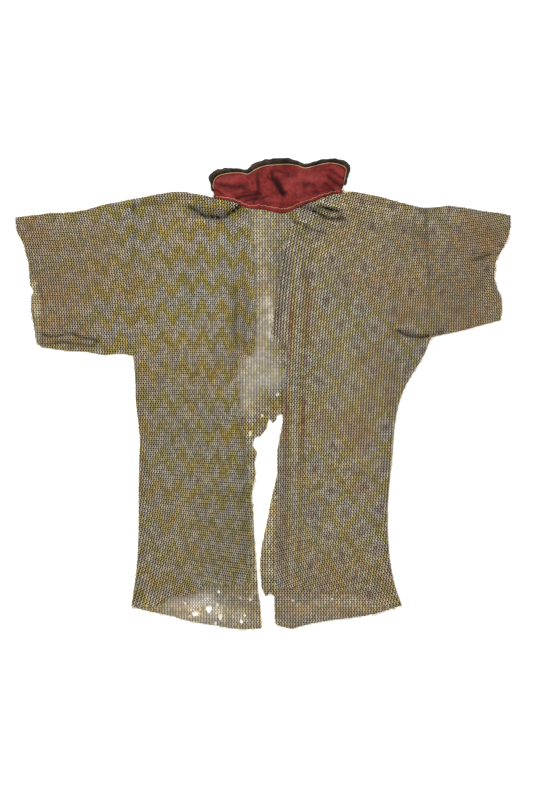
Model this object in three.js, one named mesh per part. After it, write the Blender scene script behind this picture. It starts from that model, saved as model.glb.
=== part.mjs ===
// Mail shirt of small iron and brass rings with a padded cloth collar, laid flat on its back.
// Sizes are millimetres. +X runs to the wearer's left, +Y towards the collar and +Z up.
// The back and the lower sleeve layers lie at z = 0, and the fronts and upper sleeve layers lie on them.
import * as THREE from "three";

// Driving sizes
const MAIL = 2.2; // thickness of the ring mail
const SEAM = 0.3; // gap between pieces that touch
const CLEAR = 0.5; // gap between panels that meet edge to edge
const UPPER = MAIL + SEAM; // height at which the upper layer of mail starts
const TURN = 2.0; // how much of a folded edge is seen from above
const TURN_ROUND = 0.7; // where the rounding of a folded edge is halfway
const STEP = 0.05; // width of the sharp step inside a folded edge
const INSET = TURN + 4 * SEAM; // how far the lower layer stays inside a folded edge
const TURN_END = 18; // how far before the collar the folded shoulder starts to open
const CELL = 21; // largest spacing of the grid on the upper layer
const NECK_CELL = 13; // the same within the folds at the neck
const NECK_Y = 235; // the neck folds lie above this height on the shirt
const PIPING_RADIUS = 0.75;
const COLLAR_CLOTH = 2.2; // thickness of the collar's dark outer cloth
const LINING_BASE = COLLAR_CLOTH + SEAM;
const LINING_OVERLAP = 5; // how far the collar lining reaches down over the neck edge of the back
const LINING_SIDE = 1.3; // distance from the piping's middle to the lining's edge

// A table whose columns are named in its first line.
const table = (columns, rows) => {
  const names = columns.split(" ");
  return rows.map((row) => Object.fromEntries(names.map((name, i) => [name, row[i]])));
};

// Sections across the right front, from the side fold to the opening edge, from shoulder to hem.
const RIGHT_FRONT = table("sideX sideY edgeX edgeY", [
  [-213.5, 320, -26, 302],
  [-213.5, 290, -21, 277],
  [-213.5, 245, -18, 240],
  [-213.5, 205, -16, 205],
  [-213.5, 165, -13, 165],
  [-213.5, 120, -12, 120],
  [-213.5, 85, -14, 87],
  [-213.5, 61, -15, 66],
  [-212, 41, -41, 53],
  [-210, 15, -43, 25],
  [-210, -12, -40, -5],
  [-206, -45, -36, -38],
  [-203, -78, -31, -72],
  [-204, -111, -27, -106],
  [-205, -160, -20, -158],
  [-205, -210, -18, -210],
  [-206, -251, -19, -250],
  [-208, -284, -20, -280],
  [-211, -312, -20, -298],
  [-217, -352, -21, -312],
]);

// Sections across the left front, from the opening edge to the side fold, from shoulder to hem.
const LEFT_FRONT = table("edgeX edgeY sideX sideY", [
  [56, 298, 267, 305],
  [50, 280, 267.9, 285],
  [38, 248, 269.6, 250],
  [30, 214, 271.2, 215],
  [27, 182, 272.7, 182],
  [22, 148, 274.2, 150],
  [18, 124, 275.6, 120],
  [14.5, 106, 276.7, 97],
  [13, 99, 277, 91],
  [22, 84, 268, 68],
  [42, 74, 260, 52],
  [38, 48, 249, 35],
  [36, 20, 237, 15],
  [35, -8, 227, -8],
  [34, -36, 220, -36],
  [30, -64, 216, -66],
  [24, -94, 214, -96],
  [24, -127, 211, -128],
  [25, -160, 208, -158],
  [25, -195, 206, -192],
  [25, -226, 206, -226],
  [22, -262, 208, -262],
  [20, -290, 212, -292],
  [20, -305, 219, -322],
  [21, -320, 229, -350],
]);
const RIGHT_ARMPIT_ROW = 7; // the section of each front at which the armhole ends and the side fold starts
const LEFT_ARMPIT_ROW = 8;

// The shoulder folds, from the armhole to the point where the collar starts.
const RIGHT_SHOULDER = table("x y", [
  [-213.5, 320],
  [-193, 324],
  [-173, 328],
  [-153, 331],
  [-134, 332],
  [-114, 329],
  [-94, 325],
  [-84, 323],
]);
const LEFT_SHOULDER = table("x y", [
  [134, 332],
  [144, 332],
  [163, 330],
  [183, 326],
  [203, 321],
  [223, 315],
  [243, 310],
  [267, 305],
]);

// The lower edge of the collar, from the right shoulder point round the back of the neck to the left one.
const NECKLINE = table("x y", [
  [-82, 322.5],
  [-68, 320],
  [-51, 317],
  [-38, 310],
  [-21, 304],
  [0, 303],
  [18, 298],
  [33, 296],
  [48, 301],
  [61, 308],
  [78, 314],
  [94, 321],
  [111, 327],
  [132, 331],
]);

// The lower edges of the two fronts, from left to right as seen.
const RIGHT_HEM = table("x y", [
  [-217, -352],
  [-203, -349],
  [-183, -349],
  [-168, -350],
  [-160, -337],
  [-149, -337],
  [-131, -334],
  [-118, -335],
  [-110, -328],
  [-102, -321],
  [-93, -313],
  [-82, -313],
  [-74, -318],
  [-65, -315],
  [-43, -313],
  [-21, -312],
]);
const LEFT_HEM = table("x y", [
  [21, -320],
  [56, -322],
  [107, -326],
  [139, -327],
  [162, -333],
  [178, -344],
  [201, -352],
  [216, -353],
  [229, -350],
]);

// The lower edge of the back, which reaches below the fronts.
const BACK_HEM = table("x y", [
  [-217, -352],
  [-193, -359],
  [-173, -363],
  [-153, -367],
  [-134, -373],
  [-114, -378],
  [-94, -381],
  [-74, -384],
  [-54, -388],
  [-30, -390],
  [-2, -389],
  [21, -381],
  [33, -386],
  [48, -389],
  [64, -384],
  [86, -379],
  [111, -375],
  [135, -372],
  [160, -369],
  [185, -364],
  [206, -358],
  [229, -350],
]);

// The torn vent in the back, from the hem up its right side, over the top and down its left side.
const VENT = table("x y", [
  [-4, -361],
  [-8, -325],
  [-10, -300],
  [-12, -267],
  [-15, -226],
  [-16, -196],
  [-20, -177],
  [-16, -153],
  [-12, -134],
  [-14, -114],
  [-10, -98],
  [-18, -86],
  [-13, -73],
  [-4, -71],
  [5, -59],
  [9, -45],
  [12, -43],
  [16, -49],
  [21, -46],
  [23, -37],
  [27, -35],
  [34, -36],
  [34, -47],
  [31, -78],
  [28, -102],
  [25, -127],
  [20, -150],
  [13, -177],
  [9, -203],
  [3, -229],
  [-2, -256],
  [-5, -276],
  [-4, -300],
  [-2, -322],
  [5, -336],
  [12, -330],
  [19, -335],
  [19, -358],
]);

// Holes where rings are lost from the back, each with its width and height.
const HOLES = table("x y width height", [
  [-128, -347, 4.6, 5.4],
  [-110, -364, 15, 9.5],
  [-103, -357, 4.6, 5],
  [-121, -368, 4.4, 4.4],
  [-89, -356, 11, 14],
  [-70, -369, 8, 11],
  [-75, -350, 4.4, 6.6],
  [-73, -328, 4.4, 6.4],
  [-78, -379, 5, 7],
  [-37, -338, 4.4, 4.4],
  [-21, -341, 5.4, 4.6],
  [-30, -367, 4.6, 4.4],
  [-36, -377, 5, 7.6],
  [-191, -351, 5, 4.6],
  [114, -340, 4.8, 4.4],
  [50, -342, 4.4, 4.4],
  [24, -3, 5.6, 7],
  [-1, -37, 4.4, 5],
  [-21, -67, 6, 9.6],
]);
const HOLE_POINTS = 7;
const HOLE_WOBBLE = 0.18; // how uneven the edge of a hole is

// The sleeves. Each front edge is a cuff, and the upper layer's cuff differs from the lower one's.
const RIGHT_CUFF_UPPER = table("x y", [
  [-408, 290],
  [-407, 269],
  [-400, 254],
  [-393, 243],
  [-389, 225],
  [-384, 205],
  [-378, 188],
  [-369, 177],
  [-366, 153],
  [-365, 129],
  [-368, 107],
  [-367, 76],
]);
const RIGHT_CUFF_LOWER = table("x y", [
  [-405, 287],
  [-405, 269],
  [-397, 252],
  [-392, 236],
  [-387, 216],
  [-385, 196],
  [-384, 178],
  [-378, 167],
  [-383, 157],
  [-382, 134],
  [-378, 112],
  [-375, 91],
  [-371, 79],
]);
const RIGHT_SLEEVE_TOP = table("x y", [
  [-408, 290],
  [-388, 292],
  [-371, 294],
  [-351, 297],
  [-332, 297],
  [-312, 299],
  [-292, 302],
  [-272, 308],
  [-252, 313],
  [-233, 316],
  [-213.5, 320],
]);
const RIGHT_UNDERARM = table("x y", [
  [-367, 76],
  [-343, 72],
  [-320, 69],
  [-292, 68],
  [-272, 64],
  [-256, 62],
  [-241, 65],
  [-228, 64],
  [-213.5, 61],
]);
const LEFT_CUFF_UPPER = table("x y", [
  [408, 293],
  [408, 272],
  [405, 259],
  [399, 244],
  [393, 233],
  [385, 222],
  [382, 208],
  [380, 200],
  [383, 182],
  [388, 168],
  [394, 153],
  [394, 139],
  [392, 120],
]);
const LEFT_CUFF_LOWER = table("x y", [
  [405, 290],
  [405, 272],
  [402, 259],
  [396, 244],
  [390, 233],
  [383, 222],
  [382, 210],
  [384, 204],
  [379, 195],
  [381, 182],
  [386, 168],
  [391, 153],
  [391, 139],
  [389, 124],
]);
const LEFT_SLEEVE_TOP = table("x y", [
  [267, 305],
  [282, 306],
  [302, 309],
  [322, 307],
  [342, 304],
  [361, 300],
  [381, 298],
  [396, 296],
  [408, 293],
]);
const LEFT_UNDERARM = table("x y", [
  [277, 91],
  [292, 95],
  [312, 99],
  [333, 104],
  [355, 110],
  [373, 115],
  [392, 120],
]);

// Cross sections of the collar, each from its rolled outer edge over the piping to the neckline.
const COLLAR = table("outerX outerY pipeX pipeY baseX baseY", [
  [-85, 334, -80.5, 332, -80, 322.5],
  [-88, 348, -82, 342, -73, 321],
  [-90, 357, -80, 351, -66, 319.5],
  [-82, 366, -73, 358, -58, 318.5],
  [-64, 371, -58, 362, -48, 315.5],
  [-43, 371, -38, 363, -35, 308.5],
  [-26, 369, -25, 361, -21, 304],
  [-17, 378, -13, 368, -10, 303.5],
  [-2, 384, 2, 374, 2, 302.5],
  [18, 387, 20, 376, 15, 299],
  [41, 388, 40, 377, 30, 296.2],
  [54, 384, 56, 375, 43, 299],
  [68, 379, 68, 371, 56, 305.5],
  [79, 380, 81, 373, 69, 311],
  [94, 385, 96, 377, 82, 315.5],
  [112, 387, 112, 379, 96, 321.5],
  [130, 385, 128, 376, 108, 326],
  [144, 376, 137, 370, 118, 328.3],
  [142, 361, 136, 359, 124, 329.5],
  [137, 343, 132.5, 343, 129, 330.4],
]);
// How the collar's outer cloth rolls over its edge: the share of the way to the piping, and the height.
const COLLAR_ROLL = table("share height", [
  [0, 1.2],
  [0.2, 4.2],
  [0.45, 5.4],
  [0.68, 4.6],
  [0.7, COLLAR_CLOTH],
  [1.4, COLLAR_CLOTH],
]);
// The padded lining: the share of the way from its upper edge to the neckline, and its thickness.
const LINING_CROWN = table("share thickness", [
  [0, 1.4],
  [0.05, 3],
  [0.16, 4.2],
  [0.38, 4.8],
  [0.62, 4.6],
  [0.84, 3.6],
  [0.95, 2.6],
  [1, 1.2],
]);

// The largest folds: ridges in the mail, and troughs and ridges in the collar lining.
const RIGHT_FOLDS = table("fromX fromY toX toY width height", [
  [-128, 312, -82, 301, 11, 4.5],
  [-82, 301, -44, 303, 11, 4.5],
  [-22, 70, -20, 210, 12, 2.6],
]);
const LEFT_FOLDS = table("fromX fromY toX toY width height", [
  [92, 318, 150, 293, 10, 4.6],
  [70, 306, 132, 272, 10, 4.2],
  [57, 290, 112, 250, 10, 3.6],
  [60, 285, 52, 90, 13, 3.4],
  [52, 90, 44, -230, 13, 2.6],
  [34, 235, 20, 112, 10, 4.2],
  [222, 106, 288, 104, 9, 3],
]);
const RIGHT_SLEEVE_FOLDS = table("fromX fromY toX toY width height", [
  [-364, 86, -290, 80, 8, 2.6],
]);
const LEFT_SLEEVE_FOLDS = table("fromX fromY toX toY width height", [
  [270, 105, 330, 112, 9, 2.2],
  [404, 232, 352, 222, 10, 2.2],
]);
const LINING_FOLDS = table("fromX fromY toX toY width height", [
  [22, 358, 36, 330, 6, -2],
  [10, 352, 40, 356, 4, -1.2],
  [-4, 355, -8, 322, 4, -1.2],
  [-60, 342, -22, 330, 4, -1.1],
  [-30, 326, 6, 318, 5, 1],
  [62, 348, 82, 350, 4, -1],
  [108, 362, 130, 340, 6, -1.4],
  [-70, 352, -40, 350, 8, 0.9],
]);

const IRON_BRASS_RIGHT = new THREE.MeshStandardMaterial({ color: 0x8a8262, roughness: 0.5, metalness: 0.7 });
const IRON_BRASS_LEFT = new THREE.MeshStandardMaterial({ color: 0x8f8160, roughness: 0.5, metalness: 0.7 });
const IRON_BRASS_BACK = new THREE.MeshStandardMaterial({ color: 0x9a8a6a, roughness: 0.55, metalness: 0.6 });
const RED_LINING = new THREE.MeshStandardMaterial({ color: 0xa03038, roughness: 0.6, metalness: 0 });
const DARK_VELVET = new THREE.MeshStandardMaterial({ color: 0x2c2526, roughness: 0.95, metalness: 0 });
const GOLD_PIPING = new THREE.MeshStandardMaterial({ color: 0xc89a50, roughness: 0.6, metalness: 0.2 });

const mix = (a, b, t) => a + (b - a) * t;
const between = (p, q, t) => ({ x: mix(p.x, q.x, t), y: mix(p.y, q.y, t) });
const shifted = (rows, dx, dy) => rows.map((p) => ({ x: p.x + dx, y: p.y + dy }));
const sidePoints = (rows) => rows.map((r) => ({ x: r.sideX, y: r.sideY }));
const edgePoints = (rows) => rows.map((r) => ({ x: r.edgeX, y: r.edgeY }));

// A smooth line through points, read by a share that is knots[i] at point i.
function lineThrough(points, knots) {
  const curve = new THREE.CatmullRomCurve3(
    points.map((p) => new THREE.Vector3(p.x, p.y, 0)),
    false,
    "centripetal",
  );
  const last = points.length - 1;
  return (share) => {
    let i = 0;
    while (i < last - 1 && share > knots[i + 1]) i++;
    const within = (share - knots[i]) / (knots[i + 1] - knots[i]);
    return curve.getPoint(Math.min(1, Math.max(0, (i + within) / last)));
  };
}

// Shares that run with x for an edge across, or with the drop in y for sections that go down.
const sharesAlong = (points, key) => {
  const first = points[0][key];
  const whole = points[points.length - 1][key] - first;
  return points.map((p) => (p[key] - first) / whole);
};
const sharesDown = (a, b) => sharesAlong(a.map((p, i) => ({ y: p.y + b[i].y })), "y");

// Adds shares so that no two neighbours are more than cell apart on a line of that length.
function filledIn(shares, length, cell) {
  const all = [];
  shares.forEach((share, i) => {
    all.push(share);
    if (i === shares.length - 1) return;
    const next = shares[i + 1];
    const parts = Math.ceil(((next - share) * length) / cell(share));
    for (let k = 1; k < parts; k++) all.push(mix(share, next, k / parts));
  });
  return all;
}

// The extra grid lines of a folded edge, as shares of that length.
const TURN_LINES = [0, TURN_ROUND, TURN, TURN + STEP];
const turnShares = (length) => TURN_LINES.map((mm) => mm / length);
const withoutNear = (shares, low, high) => shares.filter((s) => s > low && s < high);

// How far a fold or a row of folds lifts the cloth at a place.
function liftOf(folds) {
  return (x, y) => {
    let lift = 0;
    for (const f of folds) {
      const dx = f.toX - f.fromX;
      const dy = f.toY - f.fromY;
      const long = Math.hypot(dx, dy);
      const along = ((x - f.fromX) * dx + (y - f.fromY) * dy) / (long * long);
      const held = Math.min(1, Math.max(0, along));
      const aside = Math.hypot(x - f.fromX - held * dx, y - f.fromY - held * dy);
      const bump = f.height * Math.exp(-((aside / f.width) ** 2) * 2);
      if (Math.abs(bump) > Math.abs(lift)) lift = bump;
    }
    return lift;
  };
}

// A closed wall over a grid: place(i, j) is its plan, under and over its lower and upper heights.
function gridWall(columns, rows, place, under, over) {
  const positions = [];
  for (const height of [under, over])
    for (let j = 0; j < rows; j++)
      for (let i = 0; i < columns; i++) {
        const p = place(i, j);
        positions.push(p.x, p.y, height(i, j, p));
      }
  const lower = (i, j) => j * columns + i;
  const upper = (i, j) => columns * rows + lower(i, j);
  const faces = [];
  const quad = (a, b, c, d) => faces.push(a, b, c, a, c, d);
  for (let j = 0; j < rows - 1; j++)
    for (let i = 0; i < columns - 1; i++) {
      quad(upper(i, j), upper(i, j + 1), upper(i + 1, j + 1), upper(i + 1, j));
      quad(lower(i, j), lower(i + 1, j), lower(i + 1, j + 1), lower(i, j + 1));
    }
  const rim = (i0, j0, i1, j1) => quad(upper(i0, j0), upper(i1, j1), lower(i1, j1), lower(i0, j0));
  for (let i = 0; i < columns - 1; i++) {
    rim(i, 0, i + 1, 0);
    rim(i + 1, rows - 1, i, rows - 1);
  }
  for (let j = 0; j < rows - 1; j++) {
    rim(0, j + 1, 0, j);
    rim(columns - 1, j, columns - 1, j + 1);
  }
  const geometry = new THREE.BufferGeometry();
  geometry.setAttribute("position", new THREE.Float32BufferAttribute(positions, 3));
  geometry.setIndex(faces);
  return geometry;
}

// An upper layer of mail between four edges. A turned edge folds down to the surface below.
// turned has, for each edge that folds, a test of the places where it does.
function upperPanel({ left, right, top, bottom, rowShares, turned, folds, fine }) {
  const width = Math.abs(right[0].x - left[0].x);
  const height = Math.abs(left[0].y - left[left.length - 1].y);
  const leftLine = lineThrough(left, rowShares.left);
  const rightLine = lineThrough(right, rowShares.right);
  const topLine = lineThrough(top, sharesAlong(top, "x"));
  const bottomLine = lineThrough(bottom, sharesAlong(bottom, "x"));

  const cellAt = (share) => (fine && left[0].y - share * height > NECK_Y ? NECK_CELL : CELL);
  const acrossTurns = turnShares(width);
  const downTurns = turnShares(height);
  const lastTurnAcross = acrossTurns[acrossTurns.length - 1];
  const lastTurnDown = downTurns[downTurns.length - 1];
  const across = [
    ...(turned.left ? acrossTurns : [0]),
    ...(turned.right ? acrossTurns.map((s) => 1 - s).reverse() : [1]),
  ];
  const down = [
    ...(turned.top ? downTurns : [0]),
    ...withoutNear(turned.rows, lastTurnDown + 0.01, 1 - lastTurnDown - 0.01),
    ...(turned.bottom ? downTurns.map((s) => 1 - s).reverse() : [1]),
  ];
  const columns = filledIn(across, width, () => (fine ? NECK_CELL * 1.15 : CELL));
  const rows = filledIn(down, height, cellAt);

  const place = (i, j) => {
    const u = columns[i];
    const v = rows[j];
    const sides = between(leftLine(v), rightLine(v), u);
    const ends = between(topLine(u), bottomLine(u), v);
    const corners = between(
      between(top[0], top[top.length - 1], u),
      between(bottom[0], bottom[bottom.length - 1], u),
      v,
    );
    return { x: sides.x + ends.x - corners.x, y: sides.y + ends.y - corners.y };
  };
  // The distance to the nearest folded edge, measured along the grid.
  const toFold = (i, j, p) => {
    const distances = [Infinity];
    if (turned.left && turned.left(p)) distances.push(columns[i] * width);
    if (turned.right && turned.right(p)) distances.push((1 - columns[i]) * width);
    if (turned.top && turned.top(p)) distances.push(rows[j] * height);
    if (turned.bottom && turned.bottom(p)) distances.push((1 - rows[j]) * height);
    return Math.min(...distances);
  };
  const lift = liftOf(folds);
  const heldLift = (d, p) => lift(p.x, p.y) * Math.min(1, d / (3 * TURN));
  const under = (i, j, p) => {
    const d = toFold(i, j, p);
    return d < TURN + STEP / 2 ? 0 : UPPER + heldLift(d, p);
  };
  const over = (i, j, p) => {
    const d = toFold(i, j, p);
    const drop = d < TURN ? TURN - Math.sqrt(TURN ** 2 - (TURN - d) ** 2) : 0;
    return UPPER + MAIL + heldLift(d, p) - drop;
  };
  return gridWall(columns.length, rows.length, place, under, over);
}

// The part of the neckline that lies between two places, moved down by the gap to the collar.
const neckEdge = (lowX, highX) =>
  NECKLINE.filter((p) => p.x > lowX && p.x < highX).map((p) => ({ x: p.x, y: p.y - 2 * CLEAR }));

// Shares of the sections of a front, with two close ones where the armhole ends.
const ROW_STEP = 0.0016;
const frontRows = (shares, armpit) => [
  ...shares.slice(1, armpit),
  shares[armpit] - ROW_STEP,
  shares[armpit] + ROW_STEP,
  ...shares.slice(armpit + 1, -1),
];

function rightFront() {
  const left = sidePoints(RIGHT_FRONT);
  const right = edgePoints(RIGHT_FRONT);
  const shares = sharesDown(left, right);
  const corner = right[0];
  const top = [...RIGHT_SHOULDER, ...neckEdge(RIGHT_SHOULDER.at(-1).x, corner.x - 2), corner];
  const armpitY = left[RIGHT_ARMPIT_ROW].y;
  return upperPanel({
    left,
    right,
    top,
    bottom: RIGHT_HEM,
    rowShares: { left: shares, right: shares },
    turned: {
      rows: frontRows(shares, RIGHT_ARMPIT_ROW),
      left: (p) => p.y < armpitY,
      top: (p) => p.x < RIGHT_SHOULDER.at(-1).x - TURN_END,
    },
    folds: RIGHT_FOLDS,
    fine: true,
  });
}

function leftFront() {
  const left = edgePoints(LEFT_FRONT);
  const right = sidePoints(LEFT_FRONT);
  const shares = sharesDown(left, right);
  const top = [left[0], ...neckEdge(left[0].x + 2, LEFT_SHOULDER[0].x - 1), ...LEFT_SHOULDER];
  const armpitY = right[LEFT_ARMPIT_ROW].y;
  return upperPanel({
    left,
    right,
    top,
    bottom: LEFT_HEM,
    rowShares: { left: shares, right: shares },
    turned: {
      rows: frontRows(shares, LEFT_ARMPIT_ROW),
      right: (p) => p.y < armpitY,
      top: (p) => p.x > LEFT_SHOULDER[0].x + TURN_END,
    },
    folds: LEFT_FOLDS,
    fine: true,
  });
}

function sleeveUpper({ left, right, top, bottom, folds }) {
  return upperPanel({
    left,
    right,
    top,
    bottom,
    rowShares: { left: sharesAlong(left, "y"), right: sharesAlong(right, "y") },
    turned: { rows: [], top: () => true, bottom: () => true },
    folds,
    fine: false,
  });
}

// The collar's three lines, each smooth along the cross sections.
const COLLAR_STEPS = 2; // grid lines for each cross section
const collarShares = COLLAR.map((_, i) => i / (COLLAR.length - 1));
const outerLine = lineThrough(COLLAR.map((r) => ({ x: r.outerX, y: r.outerY })), collarShares);
const pipeLine = lineThrough(COLLAR.map((r) => ({ x: r.pipeX, y: r.pipeY })), collarShares);
const baseLine = lineThrough(COLLAR.map((r) => ({ x: r.baseX, y: r.baseY })), collarShares);
const collarColumns = (COLLAR.length - 1) * COLLAR_STEPS + 1;

// The place on a collar section that lies a few millimetres above the neckline.
function aboveBase(share, distance) {
  const pipe = pipeLine(share);
  const base = baseLine(share);
  const span = Math.hypot(base.x - pipe.x, base.y - pipe.y);
  return between(base, pipe, Math.min(0.6, distance / span));
}

// A straight seam line between two points, moved aside by the gap.
const seamLine = (from, to, dx) => shifted([from, to], dx, 0);

function rightSleeveUpper() {
  const seam = seamLine(RIGHT_SLEEVE_TOP.at(-1), RIGHT_UNDERARM.at(-1), -CLEAR);
  return sleeveUpper({
    left: RIGHT_CUFF_UPPER,
    right: seam,
    top: [...RIGHT_SLEEVE_TOP.slice(0, -1), seam[0]],
    bottom: [...RIGHT_UNDERARM.slice(0, -1), seam[1]],
    folds: RIGHT_SLEEVE_FOLDS,
  });
}

function leftSleeveUpper() {
  const seam = seamLine(LEFT_SLEEVE_TOP[0], LEFT_UNDERARM[0], CLEAR);
  return sleeveUpper({
    left: seam,
    right: LEFT_CUFF_UPPER,
    top: [seam[0], ...LEFT_SLEEVE_TOP.slice(1)],
    bottom: [seam[1], ...LEFT_UNDERARM.slice(1)],
    folds: LEFT_SLEEVE_FOLDS,
  });
}

// A flat wall of mail on the surface, cut to an outline with holes.
function flatMail(outline, holes = []) {
  const path = (points) => points.map((p) => new THREE.Vector2(p.x, p.y));
  const shape = new THREE.Shape(path(outline));
  shape.holes = holes.map((points) => new THREE.Path(path(points)));
  return new THREE.ExtrudeGeometry(shape, { depth: MAIL, bevelEnabled: false });
}

// The uneven outline of a hole.
function holeOutline({ x, y, width, height }) {
  return Array.from({ length: HOLE_POINTS }, (_, i) => {
    const angle = (i / HOLE_POINTS) * 2 * Math.PI;
    const reach = 1 + HOLE_WOBBLE * Math.sin(3.1 * i + x);
    return { x: x + (width / 2) * reach * Math.cos(angle), y: y + (height / 2) * reach * Math.sin(angle) };
  });
}

// Points that repeat their neighbour are left out of an outline.
const distinct = (points) =>
  points.filter((p, i) => {
    const q = points[(i + 1) % points.length];
    return Math.hypot(p.x - q.x, p.y - q.y) > 1;
  });

function back() {
  const rightSide = sidePoints(RIGHT_FRONT).slice(RIGHT_ARMPIT_ROW);
  const leftSide = sidePoints(LEFT_FRONT).slice(LEFT_ARMPIT_ROW);
  const ventTop = VENT.map((p) => ({ x: p.x, y: p.y }));
  const neck = Array.from({ length: collarColumns }, (_, i) => {
    return aboveBase(i / (collarColumns - 1), LINING_OVERLAP);
  });
  const hem = BACK_HEM.filter((p) => p.x > -215 && p.x < 226);
  const rightHem = hem.filter((p) => p.x < VENT[0].x - 4);
  const leftHem = hem.filter((p) => p.x > VENT.at(-1).x);
  return flatMail(
    distinct([
      ...shifted(RIGHT_SHOULDER, 0, -INSET),
      ...neck,
      ...shifted(LEFT_SHOULDER, 0, -INSET),
      ...shifted(leftSide.slice(0, 1), 0, INSET),
      ...shifted(leftSide.slice(0, 1), -INSET, INSET),
      ...shifted(leftSide, -INSET, -CLEAR),
      ...leftHem.reverse(),
      ...ventTop.reverse(),
      { x: VENT[0].x + 2, y: -388 },
      ...rightHem.reverse(),
      ...shifted(rightSide, INSET, -CLEAR).reverse(),
      ...shifted(rightSide.slice(0, 1), INSET, INSET),
      ...shifted(rightSide.slice(0, 1), 0, INSET),
    ]),
    HOLES.map(holeOutline),
  );
}

function rightSleeveLower() {
  const seamX = RIGHT_UNDERARM.at(-1).x - CLEAR;
  return flatMail(
    distinct([
      ...RIGHT_CUFF_LOWER,
      ...shifted(RIGHT_UNDERARM.slice(1, -1), 0, INSET),
      { x: seamX, y: RIGHT_UNDERARM.at(-1).y + INSET },
      { x: seamX, y: RIGHT_SLEEVE_TOP.at(-1).y - INSET },
      ...shifted(RIGHT_SLEEVE_TOP.slice(1, -1), 0, -INSET).reverse(),
    ]),
  );
}

function leftSleeveLower() {
  return flatMail(
    distinct([
      ...shifted(LEFT_SLEEVE_TOP.slice(0, 1), CLEAR, -INSET),
      ...shifted(LEFT_SLEEVE_TOP.slice(1, -1), 0, -INSET),
      ...LEFT_CUFF_LOWER,
      ...shifted(LEFT_UNDERARM.slice(1, -1), 0, INSET).reverse(),
      ...shifted(LEFT_UNDERARM.slice(0, 1), CLEAR, INSET),
    ]),
  );
}

// The place beside the piping, towards the inside of the collar.
function besidePiping(share, distance) {
  const step = 0.002;
  const from = pipeLine(Math.max(0, share - step));
  const to = pipeLine(Math.min(1, share + step));
  const span = Math.hypot(to.x - from.x, to.y - from.y);
  const pipe = pipeLine(share);
  return {
    x: pipe.x + ((to.y - from.y) / span) * distance,
    y: pipe.y - ((to.x - from.x) / span) * distance,
  };
}

// A wall across the collar whose rows are found by rowPlace(share of the length, row).
function collarWall(rows, rowPlace, under, over) {
  return gridWall(
    collarColumns,
    rows,
    (i, j) => rowPlace(i / (collarColumns - 1), j),
    under,
    over,
  );
}

function collarOuter() {
  const last = COLLAR_ROLL.length - 1;
  const place = (share, j) => {
    const pipe = pipeLine(share);
    if (j < last) return between(outerLine(share), pipe, COLLAR_ROLL[j].share);
    return aboveBase(share, LINING_OVERLAP + 2 * CLEAR);
  };
  return collarWall(
    COLLAR_ROLL.length,
    place,
    () => 0,
    (i, j) => COLLAR_ROLL[j].height,
  );
}

function collarLining() {
  const place = (share, j) => {
    return between(besidePiping(share, LINING_SIDE), baseLine(share), LINING_CROWN[j].share);
  };
  const lift = liftOf(LINING_FOLDS);
  return collarWall(
    LINING_CROWN.length,
    place,
    () => LINING_BASE,
    (i, j, p) => {
      const middle = Math.min(1, LINING_CROWN[j].thickness / 3 - 0.3);
      return LINING_BASE + LINING_CROWN[j].thickness + lift(p.x, p.y) * Math.max(0, middle);
    },
  );
}

function collarPiping() {
  const sides = 6;
  const section = new THREE.Shape(
    Array.from({ length: sides }, (_, i) => {
      const angle = (i / sides) * 2 * Math.PI;
      return new THREE.Vector2(PIPING_RADIUS * Math.cos(angle), PIPING_RADIUS * Math.sin(angle));
    }),
  );
  const height = LINING_BASE + PIPING_RADIUS + SEAM;
  const points = COLLAR.slice(1).map((r) => new THREE.Vector3(r.pipeX, r.pipeY, height));
  return new THREE.ExtrudeGeometry(section, {
    steps: 54,
    bevelEnabled: false,
    extrudePath: new THREE.CatmullRomCurve3(points, false, "centripetal"),
  });
}

const PIECES = [
  ["back", back, IRON_BRASS_BACK],
  ["front_right", rightFront, IRON_BRASS_RIGHT],
  ["front_left", leftFront, IRON_BRASS_LEFT],
  ["sleeve_right_lower", rightSleeveLower, IRON_BRASS_BACK],
  ["sleeve_right_upper", rightSleeveUpper, IRON_BRASS_RIGHT],
  ["sleeve_left_lower", leftSleeveLower, IRON_BRASS_BACK],
  ["sleeve_left_upper", leftSleeveUpper, IRON_BRASS_LEFT],
  ["collar_outer", collarOuter, DARK_VELVET],
  ["collar_lining", collarLining, RED_LINING],
  ["collar_piping", collarPiping, GOLD_PIPING],
];

const shirt = new THREE.Group();
for (const [name, shape, material] of PIECES) {
  const mesh = new THREE.Mesh(shape(), material);
  mesh.name = name;
  shirt.add(mesh);
}

// The origin is the middle of the shirt's outline, on the surface it lies on.
const box = new THREE.Box3().setFromObject(shirt);
const middle = box.getCenter(new THREE.Vector3());
shirt.position.set(-middle.x, -middle.y, -box.min.z);

export default shirt;
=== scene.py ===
"""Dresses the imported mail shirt: linked rings, their patterns and rust, the padded collar, and the stage.

The shirt lies on its back on the surface z = 0. Tables are in millimetres from the middle of its outline,
with x towards the wearer's left and y towards the collar. Blender's objects are in metres.
"""

import math

import bpy
import numpy as np
from bpy.props import FloatProperty, FloatVectorProperty, PointerProperty
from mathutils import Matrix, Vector
from mathutils.bvhtree import BVHTree


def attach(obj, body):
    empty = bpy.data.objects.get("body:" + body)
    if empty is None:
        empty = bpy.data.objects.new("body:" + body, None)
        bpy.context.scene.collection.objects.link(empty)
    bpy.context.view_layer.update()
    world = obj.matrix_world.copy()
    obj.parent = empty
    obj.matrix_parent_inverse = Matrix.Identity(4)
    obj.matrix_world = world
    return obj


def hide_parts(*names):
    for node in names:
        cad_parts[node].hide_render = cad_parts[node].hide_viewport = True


bl_info = {
    "name": "Mail shirt",
    "version": (1, 0, 0),
    "blender": (4, 5, 0),
    "location": "View3D > Sidebar > Mail shirt",
    "description": "Builds a ring mail shirt with a padded collar, laid flat",
    "category": "Add Mesh",
}

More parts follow.
